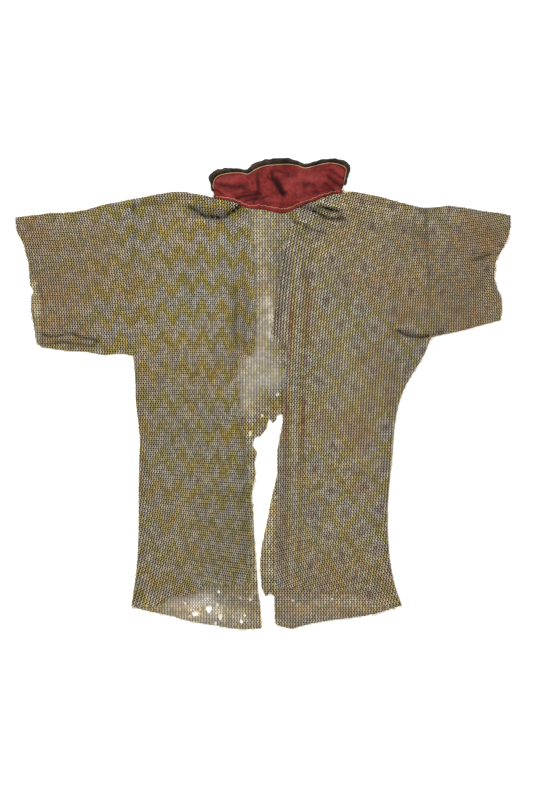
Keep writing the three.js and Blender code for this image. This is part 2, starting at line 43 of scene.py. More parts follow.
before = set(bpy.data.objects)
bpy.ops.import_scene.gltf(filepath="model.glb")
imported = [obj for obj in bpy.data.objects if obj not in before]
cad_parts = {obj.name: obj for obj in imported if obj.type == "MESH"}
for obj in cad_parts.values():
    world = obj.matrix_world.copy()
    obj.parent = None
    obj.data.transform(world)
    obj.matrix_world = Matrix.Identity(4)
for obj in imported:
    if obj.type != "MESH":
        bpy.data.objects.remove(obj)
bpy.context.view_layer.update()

MM = 0.001
MAIL = 2.2  # thickness of the ring mail
UPPER = 2.5  # height at which the upper layer starts
GRID = 6.0  # spacing of the vertices on the mail
FINE_GRID = 2.0  # the same on the collar lining

# How the rings are linked: rows lean to alternate sides and are set half a pitch apart.
RING_PITCH = 4.0
ROW_PITCH = 3.0
RING_ACROSS = 1.65  # half the width of a ring, to the middle of its wire
RING_DOWN = 1.7  # the same along the weave
RING_LEAN = 0.5  # how much a ring rises across its width, as a slope
GAP_HEIGHT = -1.2  # the drawn height between the rings
COVERED = 0.02  # how far above that a ring starts

# How the rings are coloured.
ROW_SHADE = 0.25  # painted shade: how much darker every second row looks, as its rings lean the other way to the light
DIMMEST_RING, TONE_AND_GLINT = 0.87, 0.93  # brightness of the dimmest ring, and how much brighter the others are: random tone, and painted glints on the few brightest
UNDER_SHADE_LOW, UNDER_SHADE_HIGH = -0.55, 0.8  # the heights between which painted shade darkens a ring's lower parts, where it passes under others
UNDER_SHADE_BRIGHTNESS = 0.08  # how bright the most shaded part of a ring is
WARM_TINT = (1.08, 0.95, 0.78)  # what the colour is multiplied by in warm patches
AGED_SHARE, AGED_TINT = 0.9, 0.5  # how far tarnish evens out the two metals, and covers them
COPPER_LOW, COPPER_HIGH = 0.3, 0.7  # the tones between which the copper lines come and go
SHADE_LEAST, SHADE_SPECKLE = 0.42, 0.55  # how deep the painted shade is, and how this differs from ring to ring
BUMP_STRENGTH = 0.8
RUST_ROUGHNESS = 0.3  # how much rougher rust is
METALLIC, RUST_METALLIC = 0.85, -0.6  # how metallic clean rings are, and how rust changes it

# The uneven tone of the mail comes from broad noise and from smaller patches.
BROAD_SCALE, PATCH_SCALE = 9.0, 42.0
BROAD_PART, PATCH_PART = 0.6, 0.4  # how much each of them counts
WARM_LOW, WARM_HIGH = 0.6, 0.95  # the noise at which warm patches start and are full
RUST_PATCH, RUST_SPECKLE = 0.9, 0.35  # how rust follows the patches, and differs from ring to ring
RUST_LOW, RUST_HIGH = 0.35, 0.85  # where it starts and is full

# The separate rings at the edges. Lengths are in millimetres.
EDGE_INSIDE, EDGE_REACH = 2.2, 3.2  # how far they lie inside and beyond an edge
SEAM_REACH, FOLD_REACH = 2.2, 0.2  # the same beyond a joint, and where the mail turns under
EDGE_ASIDE = 2.5  # how far a ring may be from the nearest place on the edge, past that
EDGE_LIFT, EDGE_LOOSE, SEAM_LIFT = 1.6, 0.3, 0.6  # their height, its variation, and more of it at a joint
EDGE_TURNS = (0.5, 0.6, 0.8)  # how far they turn about each axis, in radians
EDGE_RAGGED = 1.6  # how rare the rings that reach far are
EDGE_PAINTED_SHADE, SEAM_PAINTED_SHADE = 0.35, 0.6  # painted shade: how much darker they look, as if they lay in troughs, and more of it at a joint
RIM_STEP = 2  # between the places looked at along an edge
FREE_STEP, FREE_HEIGHT = 4, 1.5  # how far beyond an edge other pieces are looked for, and how high
UNWEAVE_STEP = 0.5  # the distance over which the slope of the weave is measured
ARMHOLE_NEAR, ARMHOLE_SHIFT = 1.2, 0.4  # what counts as at the armhole's joint, and how it is closed

# The creases of the mail.
CREASE_DEEPEST = 1.2  # where only one layer is left below
CREASE_SHADE = 1.8  # the depth at which a crease is fully darkened by painted shade
CREASE_NEAR = 0.2  # the height of a crease from which the faces are finer
UNEVEN = 0.25  # the height of the slight unevenness all over

# How the cloth simulation swells the padded lining: its pressure, how much its threads stretch,
# how many steps it takes and how far it may move a point.
SWELL_PRESSURE, SWELL_SLACK, SWELL_STEPS, SWELL_MOST = 2.0, -0.012, 20, 2.0

# The collar's details, in millimetres.
COLLAR_UP = UPPER + 1  # above this the lining may move
FINE_WANDER = 7.0  # the size of the bends in the lining's wrinkles
RIM_WANDER = 3.0  # the size of the bends in the velvet's rim
WRINKLE_SHADE, WRINKLE_DARKEST = 2.2, 0.93  # the depth at which a wrinkle gets its full painted shade, and how much of the shadow colour that is
CORD_POINTS, CORD_SKIPPED = 800, 16  # points along the piping, and how many its start leaves out
CORD_TURN = 0.792  # how far a strand turns from point to point, in radians
CORD_HEIGHT, STRAND_ASIDE, STRAND_RADIUS = 1.05, 0.32, 0.36
BINDING_SHARE, BINDING_POINTS, BINDING_RADIUS, BINDING_LIFT = 0.03, 160, 1.1, 0.1
SEAM_SHARE, SEAM_POINTS = 0.09, 240
STITCH_FIRST, STITCH_LAST, STITCH_LENGTH, STITCH_RADIUS = 3, 232, 6, 0.32
STITCH_RISE, STITCH_SINK = 0.3, 0.1  # how far a stitch bows up, and how deep its ends lie

# How all the cloths of the collar look. Lengths are in millimetres.
FADE_SCALE, WORN_SCALE, CRINKLE_SCALE = 60.0, 380.0, 170.0  # of the noise that fades, wears and crinkles
FADE_PART, WORN_PART = 0.7, 0.3  # how much fading and wear change the tone
CLOTH_DARK, CLOTH_LIGHT = 0.35, 0.65  # the tones below which it is dark and above which it is light
THREAD_SHADE, THREAD_DEPTH = 0.3, 0.12  # how dark it is between the threads, and how deep
CLOTH_SPECULAR, SHEEN_ROUGHNESS = 0.15, 0.4

# The stage, in metres.
FLOOR_SIZE, FLOOR_DROP = 12, 0.0004
KEY_PLACE, KEY_SIZE = (-1.3, 1.5, 2.0), 0.9
CAMERA_X, CAMERA_Y = 0.0058, -0.0116
LENS = 100

# The zigzags: their width, how high each leg climbs, how far one is above the next, and the part of
# each that is brass.
ZIGZAG_WIDTH = 34.3
ZIGZAG_CLIMB = 26.0
ZIGZAG_RISE = 43.2
BRASS_SHARE = 0.46

# The lozenges: the size of a cell, which holds one in its middle and one at its corners. Seen from the
# middle of a lozenge, the dot ends and the lattice starts at these shares of a cell.
LOZENGE_WIDTH = 51.0
LOZENGE_RISE = 73.0
DOT_END, LATTICE_START = 0.125, 0.385
LOZENGE_BRASS = 0.82  # how yellow the brass of the lozenges is, beside that of the zigzags

# The border, by the share of the way across it: where the copper lines fade out and are clear, and
# how far from its middle the brass stripes lie and reach.
LINE_FADED, LINE_CLEAR = 0.18, 0.04
STRIPE_PLACE, STRIPE_REACH = 0.31, 0.13


def table(columns, rows):
    """Rows of numbers as dictionaries whose keys are named in one line."""
    names = columns.split()
    return [dict(zip(names, row)) for row in rows]


# How the mail drapes on each side. The weave runs across and down the cloth, and drifts from x and y
# by the sum of these terms, each times the powers of x and y in tenths of a metre. The terms weren't
# set by hand: separate programs fitted them to the patterns in the photograph.
DRAPE_RIGHT = table("power_x power_y across down", [
    (0, 0, 20.7, 3.6),
    (0, 1, -9.8, -12.2),
    (0, 2, 0.0, 3.4),
    (0, 3, 0.0, 0.2),
    (1, 0, 29.7, 12.7),
    (1, 1, -9.5, 4.9),
    (1, 2, -1.5, 1.5),
    (2, 0, 6.4, 9.7),
    (2, 1, -2.7, 3.2),
    (3, 0, -0.6, 2.0),
])
DRAPE_LEFT = table("power_x power_y across down", [
    (0, 0, 43.9, -29.3),
    (0, 1, 1.2, -6.0),
    (0, 2, -1.2, 2.0),
    (0, 3, -0.4, -0.4),
    (1, 0, -9.6, 14.2),
    (1, 1, -8.6, 13.3),
    (1, 2, 0.3, -1.0),
    (2, 0, 0.3, -0.9),
    (2, 1, 2.6, -1.9),
    (3, 0, -0.1, -0.4),
])
DRAPE_BACK = table("power_x power_y across down", [
    (0, 0, 0.0, -2.7),
    (1, 0, -13.0, 0.0),
])

# Beyond this far to the right the weave returns to its own scale, over so long a way.
DRAPE_REACH, DRAPE_EASE = 220, 90

# Smaller creases in the mail: troughs are negative.
CREASES = table("fromX fromY toX toY width height", [
    (-121, 303, -101, 297, 4.0, -2.0),
    (-101, 297, -92, 292, 4.0, -2.6),
    (-92, 292, -60, 291, 4.5, -2.6),
    (-60, 291, -50, 300, 4.0, -2.4),
    (-50, 300, -41, 307, 4.0, -2.8),
    (82, 305, 99, 294, 4.0, -2.2),
    (99, 294, 118, 286, 4.0, -2.4),
    (118, 286, 137, 284, 4.0, -1.6),
    (91, 311, 109, 302, 3.5, -2.2),
    (109, 302, 131, 300, 3.5, -1.7),
    (53, 281, 76, 274, 3.5, -1.8),
    (76, 274, 99, 262, 3.5, -1.6),
    (222, 100, 257, 92, 3.5, -2.4),
    (257, 92, 281, 95, 4.0, -2.4),
    (281, 95, 300, 101, 4.5, -1.2),
    (-363, 96, -297, 94, 3.5, -1.8),
    (-297, 94, -274, 86, 3.5, -1.8),
    (-366, 83, -303, 80, 3.5, -1.6),
    (-303, 80, -278, 80, 3.5, -1.4),
    (345, 220, 372, 229, 3.5, -1.4),
    (-46, 172, -45, 80, 6.0, -1.0),
    (-45, 80, -52, 30, 6.0, -0.8),
    (62, 200, 66, 60, 6.0, 0.8),
    (56, 60, 58, -160, 6.0, 0.7),
    (-190, 60, -120, 40, 9.0, 0.8),
    (-200, -60, -110, -90, 10.0, 0.7),
    (-80, -140, -60, -300, 9.0, 0.7),
    (150, 20, 205, -10, 9.0, 0.8),
    (120, -120, 150, -300, 9.0, 0.8),
    (200, 250, 320, 240, 9.0, 0.8),
    (-330, 200, -230, 210, 9.0, 0.7),
])

# Painted shade where the rings are darker (above 0), and painted light where they catch the light (below
# 0).
SHADOWS = table("fromX fromY toX toY width height", [
    (-34, 255, -30, 180, 7.0, 0.3),
    (-30, 180, -30, 75, 6.0, 0.4),
    (34, 235, 24, 150, 7.0, 0.3),
    (24, 150, 22, 100, 6.0, 0.5),
    (22, 100, 34, 72, 6.0, 0.45),
    (-6, 295, -6, 230, 17.0, -0.42),
    (-6, 230, -6, 120, 13.0, -0.25),
    (9, 165, 15, 92, 5.0, -0.8),
    (-45, 60, -50, -60, 12.0, -0.15),
    (34, 20, 31, -270, 6.0, 0.35),
    (-35, 20, -28, -280, 6.0, 0.3),
    (52, 60, 54, -270, 7.0, -0.18),
    (-110, 307, -45, 302, 14.0, 0.5),
    (66, 308, 120, 298, 14.0, 0.4),
    (-58, 240, -46, 90, 15.0, 0.1),
    (-98, 300, -60, 299, 5.0, -0.25),
    (-104, 284, -60, 282, 5.0, -0.2),
    (88, 300, 120, 293, 3.5, -0.3),
    (100, 308, 130, 306, 3.5, -0.3),
    (54, 287, 96, 270, 3.5, -0.25),
    (-190, -345, -105, -362, 16.0, -0.35),
    (-385, 200, -250, 190, 90.0, 0.12),
    (225, 285, 262, 262, 16.0, 0.3),
    (390, 200, 300, 190, 90.0, 0.05),
    (-377, 180, -374, 132, 8.0, -0.7),
    (-367, 188, -362, 152, 3.0, 0.5),
    (-362, 152, -373, 122, 3.0, 0.5),
    (53, 297, 54, 292, 3.5, -1.0),
    (20, 60, 22, 20, 12.0, -0.3),
    (-25, 60, -30, 20, 16.0, -0.35),
    (40, -350, 210, -342, 16.0, -0.45),
    (60, 312, 130, 306, 7.0, -0.25),
    (150, 296, 200, 262, 16.0, 0.2),
    (-90, 285, -60, 284, 7.0, 0.35),
    (-385, 130, -375, 60, 7.0, 0.4),
    (340, 232, 385, 230, 6.0, 0.3),
    (-210, 40, -196, -280, 7.0, 0.2),
    (222, 60, 205, -60, 8.0, 0.25),
    (-215, 306, -140, 321, 8.0, 0.5),
    (-140, 321, -78, 322, 8.0, 0.5),
    (150, 322, 290, 296, 9.0, 0.22),
    (14, -90, 9, -300, 12.0, -0.35),
    (-100, -362, -20, -372, 14.0, -0.3),
    (115, 60, 125, -320, 110.0, -0.12),
])

# The same on the lower layers alone.
SHADOWS_BELOW = table("fromX fromY toX toY width height", [
    (-14, -200, -12, -330, 12.0, -0.85),
    (-22, -20, -15, -150, 10.0, -0.5),
    (12, -150, 11, -300, 12.0, -0.65),
    (-105, -365, -15, -372, 16.0, -0.35),
    (60, -350, 200, -345, 18.0, -0.2),
    (-379, 180, -376, 150, 9.0, -0.6),
    (-376, 150, -372, 122, 9.0, -0.6),
])

LOWER_RUST = 0.4  # how rusty the lower layers of the sleeves are, beside the upper ones

# Where rust and brown wax colour the rings.
RUST = table("x y reach strength", [
    (-340, 180, 110, 0.3),
    (350, 190, 110, 0.5),
    (-375, 265, 34, 0.8),
    (-390, 215, 26, 0.7),
    (-345, 165, 38, 0.6),
    (-360, 110, 30, 0.7),
    (-310, 95, 34, 0.6),
    (-280, 260, 40, 0.3),
    (-240, 120, 30, 0.35),
    (-200, 30, 26, 0.4),
    (-190, 5, 22, 0.5),
    (-185, -60, 30, 0.4),
    (-200, -150, 34, 0.35),
    (-205, -320, 34, 0.5),
    (-150, -330, 30, 0.45),
    (-33, 60, 24, 0.5),
    (-22, 110, 18, 0.4),
    (142, 185, 16, 0.9),
    (225, 250, 22, 0.5),
    (262, 248, 16, 0.8),
    (300, 180, 24, 0.6),
    (350, 262, 34, 0.9),
    (385, 270, 22, 0.8),
    (350, 175, 24, 0.7),
    (330, 120, 34, 0.6),
    (200, 190, 26, 0.5),
    (222, 130, 26, 0.7),
    (190, 165, 20, 0.8),
    (185, 60, 24, 0.7),
    (210, 20, 24, 0.5),
    (160, -68, 22, 0.9),
    (150, -52, 18, 0.8),
    (95, -50, 18, 0.6),
    (165, -155, 18, 0.6),
    (85, -180, 14, 0.6),
    (110, -300, 22, 0.6),
    (195, -335, 34, 0.7),
    (120, -355, 40, 0.75),
    (50, -355, 36, 0.7),
    (20, -200, 18, 0.8),
    (12, -120, 20, 0.6),
    (14, -280, 22, 0.8),
    (-90, -370, 40, 0.25),
])

# The two copper lines beside the left opening, from the collar to the hem.
BORDER = table("y inner outer", [
    (290, 44, 56),
    (219, 46, 64),
    (168, 45.5, 78),
    (79, 45, 69.5),
    (-3, 39.6, 66.5),
    (-48, 38.4, 66),
    (-178, 37.2, 67.5),
    (-279, 36, 58),
    (-330, 36, 56),
])

# How clear the copper lines are at some heights.
COPPER_HEIGHTS = (-150, -50, 200, 225)
COPPER_SHARES = (0.35, 1.0, 1.0, 0.4)

# Cross sections of the collar: the line of the piping, and the neckline.
COLLAR = table("pipeX pipeY baseX baseY", [
    (-80.5, 332, -80, 322.5),
    (-82, 342, -73, 321),
    (-80, 351, -66, 319.5),
    (-73, 358, -58, 318.5),
    (-58, 362, -48, 315.5),
    (-38, 363, -35, 308.5),
    (-25, 361, -21, 304),
    (-13, 368, -10, 303.5),
    (2, 374, 2, 302.5),
    (20, 376, 15, 299),
    (40, 377, 30, 296.2),
    (56, 375, 43, 299),
    (68, 371, 56, 305.5),
    (81, 373, 69, 311),
    (96, 377, 82, 315.5),
    (112, 379, 96, 321.5),
    (128, 376, 108, 326),
    (137, 370, 118, 328.3),
    (136, 359, 124, 329.5),
    (132.5, 343, 129, 330.4),
])
FRAME_Y = 0.96  # the tables' y is this much lower than the frame's

# The x of each armhole's joint where y is 0, and how it changes with y.
ARMHOLES = {"right": (-214.1, 0.0), "left": (281.6, -0.0459)}

# Where the two metals have tarnished to one tone.
FADED = table("x y reach strength", [
    (-400, 200, 75, 0.7),
    (-340, 110, 60, 0.45),
    (-300, 250, 60, 0.45),
    (-205, 200, 40, 0.4),
    (-190, -250, 70, 0.3),
    (-60, -240, 60, 0.25),
    (250, 230, 70, 0.45),
    (350, 230, 80, 0.75),
    (330, 130, 70, 0.7),
    (130, 290, 45, 0.4),
    (190, 0, 50, 0.25),
    (60, -250, 70, 0.3),
    (160, -320, 80, 0.35),
    (110, 60, 130, 0.2),
    (130, -120, 130, 0.2),
    (120, 220, 90, 0.4),
    (-150, 0, 90, 0.25),
    (-150, -120, 90, 0.3),
    (-100, -270, 90, 0.3),
    (-376, 155, 22, 0.7),
    (200, 305, 60, 0.5),
    (-150, 315, 40, 0.5),
])

# The same on the back alone, where it shows in the opening and below the hems.
FADED_BACK = table("x y reach strength", [
    (-5, 280, 40, 0.75),
    (-5, 220, 40, 0.6),
    (0, 150, 40, 0.6),
    (-15, 60, 45, 0.7),
    (-35, -10, 40, 0.7),
    (-100, -360, 80, 0.8),
    (-30, -355, 50, 0.75),
    (110, -360, 110, 0.8),
    (14, -120, 60, 0.75),
    (12, -250, 70, 0.8),
    (-378, 155, 25, 0.8),
])

# Where a single layer is stretched so that light shows through its gaps.
OPEN_GAPS = table("x y reach strength", [
    (9, 150, 9, 0.8),
    (13, 125, 9, 0.9),
    (16, 100, 9, 0.9),
    (0, 300, 45, 0.4),
    (-5, 240, 45, 0.4),
    (0, 180, 40, 0.4),
    (-5, 120, 45, 0.55),
    (-10, 60, 45, 0.65),
    (-40, -20, 35, 0.6),
    (-30, -200, 60, 0.25),
    (-150, -350, 55, 0.55),
    (-90, -370, 60, 0.5),
    (-30, -370, 40, 0.35),
    (10, -200, 60, 0.2),
    (40, -370, 50, 0.35),
    (120, -365, 60, 0.35),
    (190, -350, 40, 0.3),
    (-20, 15, 35, 0.5),
    (20, 25, 22, 0.6),
    (-385, 90, 60, 0.5),
    (-113, -352, 14, 0.9),
    (-92, -343, 13, 0.9),
    (-75, -358, 12, 0.85),
])

# The wrinkles of the collar lining: troughs are negative.
WRINKLES = table("fromX fromY toX toY width height", [
    (15, 366, 17, 352, 4.0, -1.6),
    (17, 352, 26, 342, 6.5, -2.6),
    (26, 342, 36, 328, 5.0, -3.0),
    (10, 356, 22, 340, 3.0, -1.8),
    (20, 365, 40, 362, 2.2, -1.1),
    (-8, 362, -9, 333, 4.5, -1.4),
    (-2, 361, -2, 335, 2.5, 0.6),
    (-70, 343, -38, 338, 5.5, -1.5),
    (-38, 338, -24, 342, 3.5, -1.0),
    (-62, 333, -48, 328, 3.5, -1.0),
    (-41, 320, -5, 328, 3.6, -2.0),
    (-34, 328, -8, 332, 2.8, -1.4),
    (-28, 314, 9, 324, 3.0, -1.5),
    (-25, 355, -12, 338, 3.0, -1.2),
    (-81, 335, -62, 325, 3.0, -1.1),
    (-70, 350, -55, 352, 3.0, -0.8),
    (62, 349, 86, 343, 3.2, -1.3),
    (66, 341, 84, 339, 3.0, -1.0),
    (45, 335, 61, 318, 3.4, -0.9),
    (35, 358, 55, 356, 2.6, -0.8),
    (94, 368, 119, 365, 2.4, -0.9),
    (104, 357, 132, 338, 4.0, -1.8),
    (112, 366, 137, 351, 3.4, -1.7),
    (98, 346, 127, 329, 3.6, -1.6),
    (84, 330, 112, 334, 3.0, -1.3),
    (15, 312, 58, 309, 3.0, -0.9),
    (45, 348, 52, 328, 4.6, 0.8),
    (84, 356, 96, 340, 4.6, 0.7),
    (-50, 352, -45, 330, 4.6, 0.7),
    (-20, 345, -16, 328, 4.0, 0.6),
])

# Painted highlight where the satin of the lining catches the light (above 0), and painted shadow where it
# lies in shadow (below 0).
SATIN = table("fromX fromY toX toY width height", [
    (45, 350, 90, 354, 10.0, 0.5),
    (40, 338, 60, 328, 9.0, 0.45),
    (95, 348, 105, 356, 8.0, 0.4),
    (60, 316, 90, 324, 6.0, 0.4),
    (-72, 349, -42, 353, 7.0, 0.55),
    (-68, 332, -52, 328, 5.0, 0.35),
    (-15, 345, -13, 335, 3.0, 0.4),
    (-50, 330, -30, 333, 3.5, 0.3),
    (5, 320, 28, 316, 5.0, 0.35),
    (112, 373, 130, 366, 3.5, 0.3),
    (-72, 341, -30, 336, 8.0, -0.35),
    (-40, 322, 0, 319, 7.0, -0.5),
    (-8, 360, -8, 336, 6.5, -0.45),
    (15, 362, 19, 350, 6.0, -0.6),
    (21, 346, 34, 330, 9.0, -0.75),
    (18, 366, 42, 362, 4.0, -0.5),
    (-80, 338, -66, 326, 6.0, -0.3),
    (108, 358, 132, 342, 8.0, -0.4),
    (98, 340, 126, 330, 7.0, -0.4),
    (64, 345, 84, 342, 5.0, -0.35),
    (40, 311, 70, 314, 4.0, -0.3),
])


def smooth_line(points, count):
    """Points evenly spaced on a smooth line through the given ones."""
    p = np.array(points, dtype=float)
    p = np.vstack([2 * p[0] - p[1], p, 2 * p[-1] - p[-2]])
    fine = []
    for i in range(1, len(p) - 2):
        for t in np.linspace(0, 1, 12, endpoint=False):
            fine.append(0.5 * (
                2 * p[i]
                + (p[i + 1] - p[i - 1]) * t
                + (2 * p[i - 1] - 5 * p[i] + 4 * p[i + 1] - p[i + 2]) * t * t
                + (3 * p[i] - p[i - 1] - 3 * p[i + 1] + p[i + 2]) * t ** 3
            ))
    fine.append(p[-2])
    fine = np.array(fine)
    run = np.concatenate([[0], np.cumsum(np.linalg.norm(np.diff(fine, axis=0), axis=1))])
    at = np.linspace(0, run[-1], count)
    return np.stack([np.interp(at, run, fine[:, k]) for k in range(p.shape[1])], axis=1)


def wander(x, y, size):
    """Smooth uneven shifts, so that tabled lines don't run straight."""
    turn = np.sin(x / (2.1 * size) + 1.7) + np.cos(y / (1.7 * size))
    aside = np.sin(y / size + turn) + 0.5 * np.sin((x + y) / (0.55 * size) + 2.0)
    along = np.cos(x / size - turn) + 0.5 * np.sin((x - 1.4 * y) / (0.5 * size))
    return 0.16 * size * aside, 0.16 * size * along


def relief(rows, x, y, size=14.0):
    """Height of the tabled folds at each place."""
    height = np.zeros_like(x)
    shift_x, shift_y = wander(x, y, size)
    x, y = x + shift_x, y + shift_y
    for r in rows:
        dx, dy = r["toX"] - r["fromX"], r["toY"] - r["fromY"]
        along = ((x - r["fromX"]) * dx + (y - r["fromY"]) * dy) / (dx * dx + dy * dy)
        held = np.clip(along, 0, 1)
        aside = np.hypot(x - r["fromX"] - held * dx, y - r["fromY"] - held * dy)
        bump = r["height"] * np.exp(-2 * (aside / r["width"]) ** 1.6)
        height = np.where(np.abs(bump) > np.abs(height), bump, height)
    return height


def weave(drape, x, y):
    """Where a place on a panel lies in the weave, across and down, in millimetres."""
    across, down = x.copy(), y.copy()
    far = np.maximum(0, -x - DRAPE_REACH)
    held = x + far - DRAPE_EASE * (1 - np.exp(-far / DRAPE_EASE))
    for term in drape:
        power = (held / 100) ** term["power_x"] * (y / 100) ** term["power_y"]
        across += term["across"] * power
        down += term["down"] * power
    return across, down


# Objects and meshes

def select_only(piece):
    bpy.ops.object.select_all(action="DESELECT")
    piece.select_set(True)
    bpy.context.view_layer.objects.active = piece


def copy_of(node, name):
    """A merged copy of a solid, as a new piece that stands for it."""
    piece = bpy.data.objects.new(name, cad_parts[node].data.copy())
    bpy.context.scene.collection.objects.link(piece)
    select_only(piece)
    bpy.ops.object.mode_set(mode="EDIT")
    bpy.ops.mesh.select_all(action="SELECT")
    bpy.ops.mesh.remove_doubles(threshold=0.01 * MM)
    bpy.ops.object.mode_set(mode="OBJECT")
    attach(piece, "root")
    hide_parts(node)
    return piece


def cut_grid(piece, spacing):
    """Cuts a piece along a grid, so that its surface can be shaped."""
    low, high = np.array(piece.bound_box).min(axis=0), np.array(piece.bound_box).max(axis=0)
    select_only(piece)
    bpy.ops.object.mode_set(mode="EDIT")
    for axis in (0, 1):
        normal = [0.0, 0.0, 0.0]
        normal[axis] = 1.0
        first = math.ceil(low[axis] / (spacing * MM) + 0.01)
        last = math.floor(high[axis] / (spacing * MM) - 0.01)
        for k in range(first, last + 1):
            place = [0.0, 0.0, 0.0]
            place[axis] = k * spacing * MM
            bpy.ops.mesh.select_all(action="SELECT")
            bpy.ops.mesh.bisect(plane_co=place, plane_no=normal)
    bpy.ops.object.mode_set(mode="OBJECT")


def vectors_of(items, name):
    """One vector of each item of a mesh."""
    flat = np.empty(len(items) * 3)
    items.foreach_get(name, flat)
    return flat.reshape(-1, 3)


def points_of(mesh):
    """A mesh's points in millimetres, in the tables' frame."""
    points = vectors_of(mesh.vertices, "co") / MM
    points[:, 1] -= FRAME_Y
    return points


def set_points(mesh, points):
    flat = points.copy()
    flat[:, 1] += FRAME_Y
    mesh.vertices.foreach_set("co", (flat * MM).ravel())
    mesh.update()


def normals_of(mesh):
    return vectors_of(mesh.vertices, "normal")


def set_attribute(mesh, name, values):
    """Keeps a number or a vector at each point."""
    kind, field = ("FLOAT", "value") if values.ndim == 1 else ("FLOAT_VECTOR", "vector")
    data = mesh.attributes.new(name, kind, "POINT").data
    data.foreach_set(field, values.astype(np.float32).ravel())


def set_uv(mesh, name, across, down):
    """A UV map from values at the points."""
    corners = np.empty(len(mesh.loops), dtype=np.int32)
    mesh.loops.foreach_get("vertex_index", corners)
    layer = mesh.uv_layers.get(name) or mesh.uv_layers.new(name=name)
    layer.data.foreach_set("uv", np.stack([across[corners], down[corners]], axis=1).ravel())


def refine_near(piece, rows):
    """Splits the faces of a piece that lie near the tabled folds."""
    mesh = piece.data
    centres = vectors_of(mesh.polygons, "center") / MM
    near = np.abs(relief(rows, centres[:, 0], centres[:, 1] - FRAME_Y)) > CREASE_NEAR
    select_only(piece)
    bpy.ops.object.mode_set(mode="EDIT")
    bpy.ops.mesh.select_mode(type="FACE")
    bpy.ops.mesh.select_all(action="DESELECT")
    bpy.ops.object.mode_set(mode="OBJECT")
    mesh.polygons.foreach_set("select", near)
    bpy.ops.object.mode_set(mode="EDIT")
    bpy.ops.mesh.subdivide(number_cuts=2)
    bpy.ops.mesh.select_mode(type="VERT")
    bpy.ops.object.mode_set(mode="OBJECT")


def finish_piece(piece, material, angle=40):
    select_only(piece)
    bpy.ops.object.shade_smooth_by_angle(angle=math.radians(angle))
    piece.data.materials.clear()
    piece.data.materials.append(material)


# Shader graphs

class Graph:
    """Short ways to add the nodes of a material or a node group."""

    def __init__(self, tree):
        self.tree = tree

    def node(self, kind, inputs=(), **settings):
        node = self.tree.nodes.new(kind)
        for name, value in settings.items():
            setattr(node, name, value)
        for name, value in dict(inputs).items():
            self.feed(node.inputs[name], value)
        return node

    def feed(self, socket, value):
        if isinstance(value, bpy.types.NodeSocket):
            self.tree.links.new(value, socket)
        elif value is not None:
            socket.default_value = value

    def math(self, operation, a, b=None, c=None, clamp=False):
        node = self.node("ShaderNodeMath", operation=operation, use_clamp=clamp)
        for socket, value in zip(node.inputs, (a, b, c)):
            self.feed(socket, value)
        return node.outputs[0]

    def blend(self, factor, a, b, kind="FLOAT"):
        """a where factor is 0, b where it is 1."""
        node = self.node("ShaderNodeMix", data_type=kind)
        first, second = [s for s in node.inputs if s.name in ("A", "B") and s.enabled]
        for socket, value in ((node.inputs[0], factor), (first, a), (second, b)):
            self.feed(socket, value)
        return next(s for s in node.outputs if s.enabled)

    def scaled(self, vector, factor):
        """A vector or colour times a number."""
        node = self.node("ShaderNodeVectorMath", operation="SCALE")
        self.feed(node.inputs[0], vector)
        self.feed(node.inputs["Scale"], factor)
        return node.outputs[0]

    def noise(self, place, scale, detail, distortion=0.0):
        inputs = {"Vector": place, "Scale": scale, "Detail": detail, "Distortion": distortion}
        return self.node("ShaderNodeTexNoise", inputs).outputs[0]

    def ramp(self, value, low, high):
        """0 below low, 1 above high and smooth between."""
        node = self.node("ShaderNodeMapRange", interpolation_type="SMOOTHSTEP")
        for name, part in (("Value", value), ("From Min", low), ("From Max", high)):
            self.feed(node.inputs[name], part)
        return node.outputs["Result"]

    def group(self, group, **inputs):
        node = self.node("ShaderNodeGroup", node_tree=group)
        for name, value in inputs.items():
            self.feed(node.inputs[name], value)
        return node.outputs


def new_group(name, inputs, outputs):
    """A node group with its sockets, and the graph and end sockets to fill it with."""
    tree = bpy.data.node_groups.new(name, "ShaderNodeTree")
    kinds = {"f": "NodeSocketFloat", "v": "NodeSocketVector", "c": "NodeSocketColor"}
    for socket, kind in inputs:
        tree.interface.new_socket(socket, in_out="INPUT", socket_type=kinds[kind])
    for socket, kind in outputs:
        tree.interface.new_socket(socket, in_out="OUTPUT", socket_type=kinds[kind])
    graph = Graph(tree)
    return tree, graph, graph.node("NodeGroupInput").outputs, graph.node("NodeGroupOutput").inputs


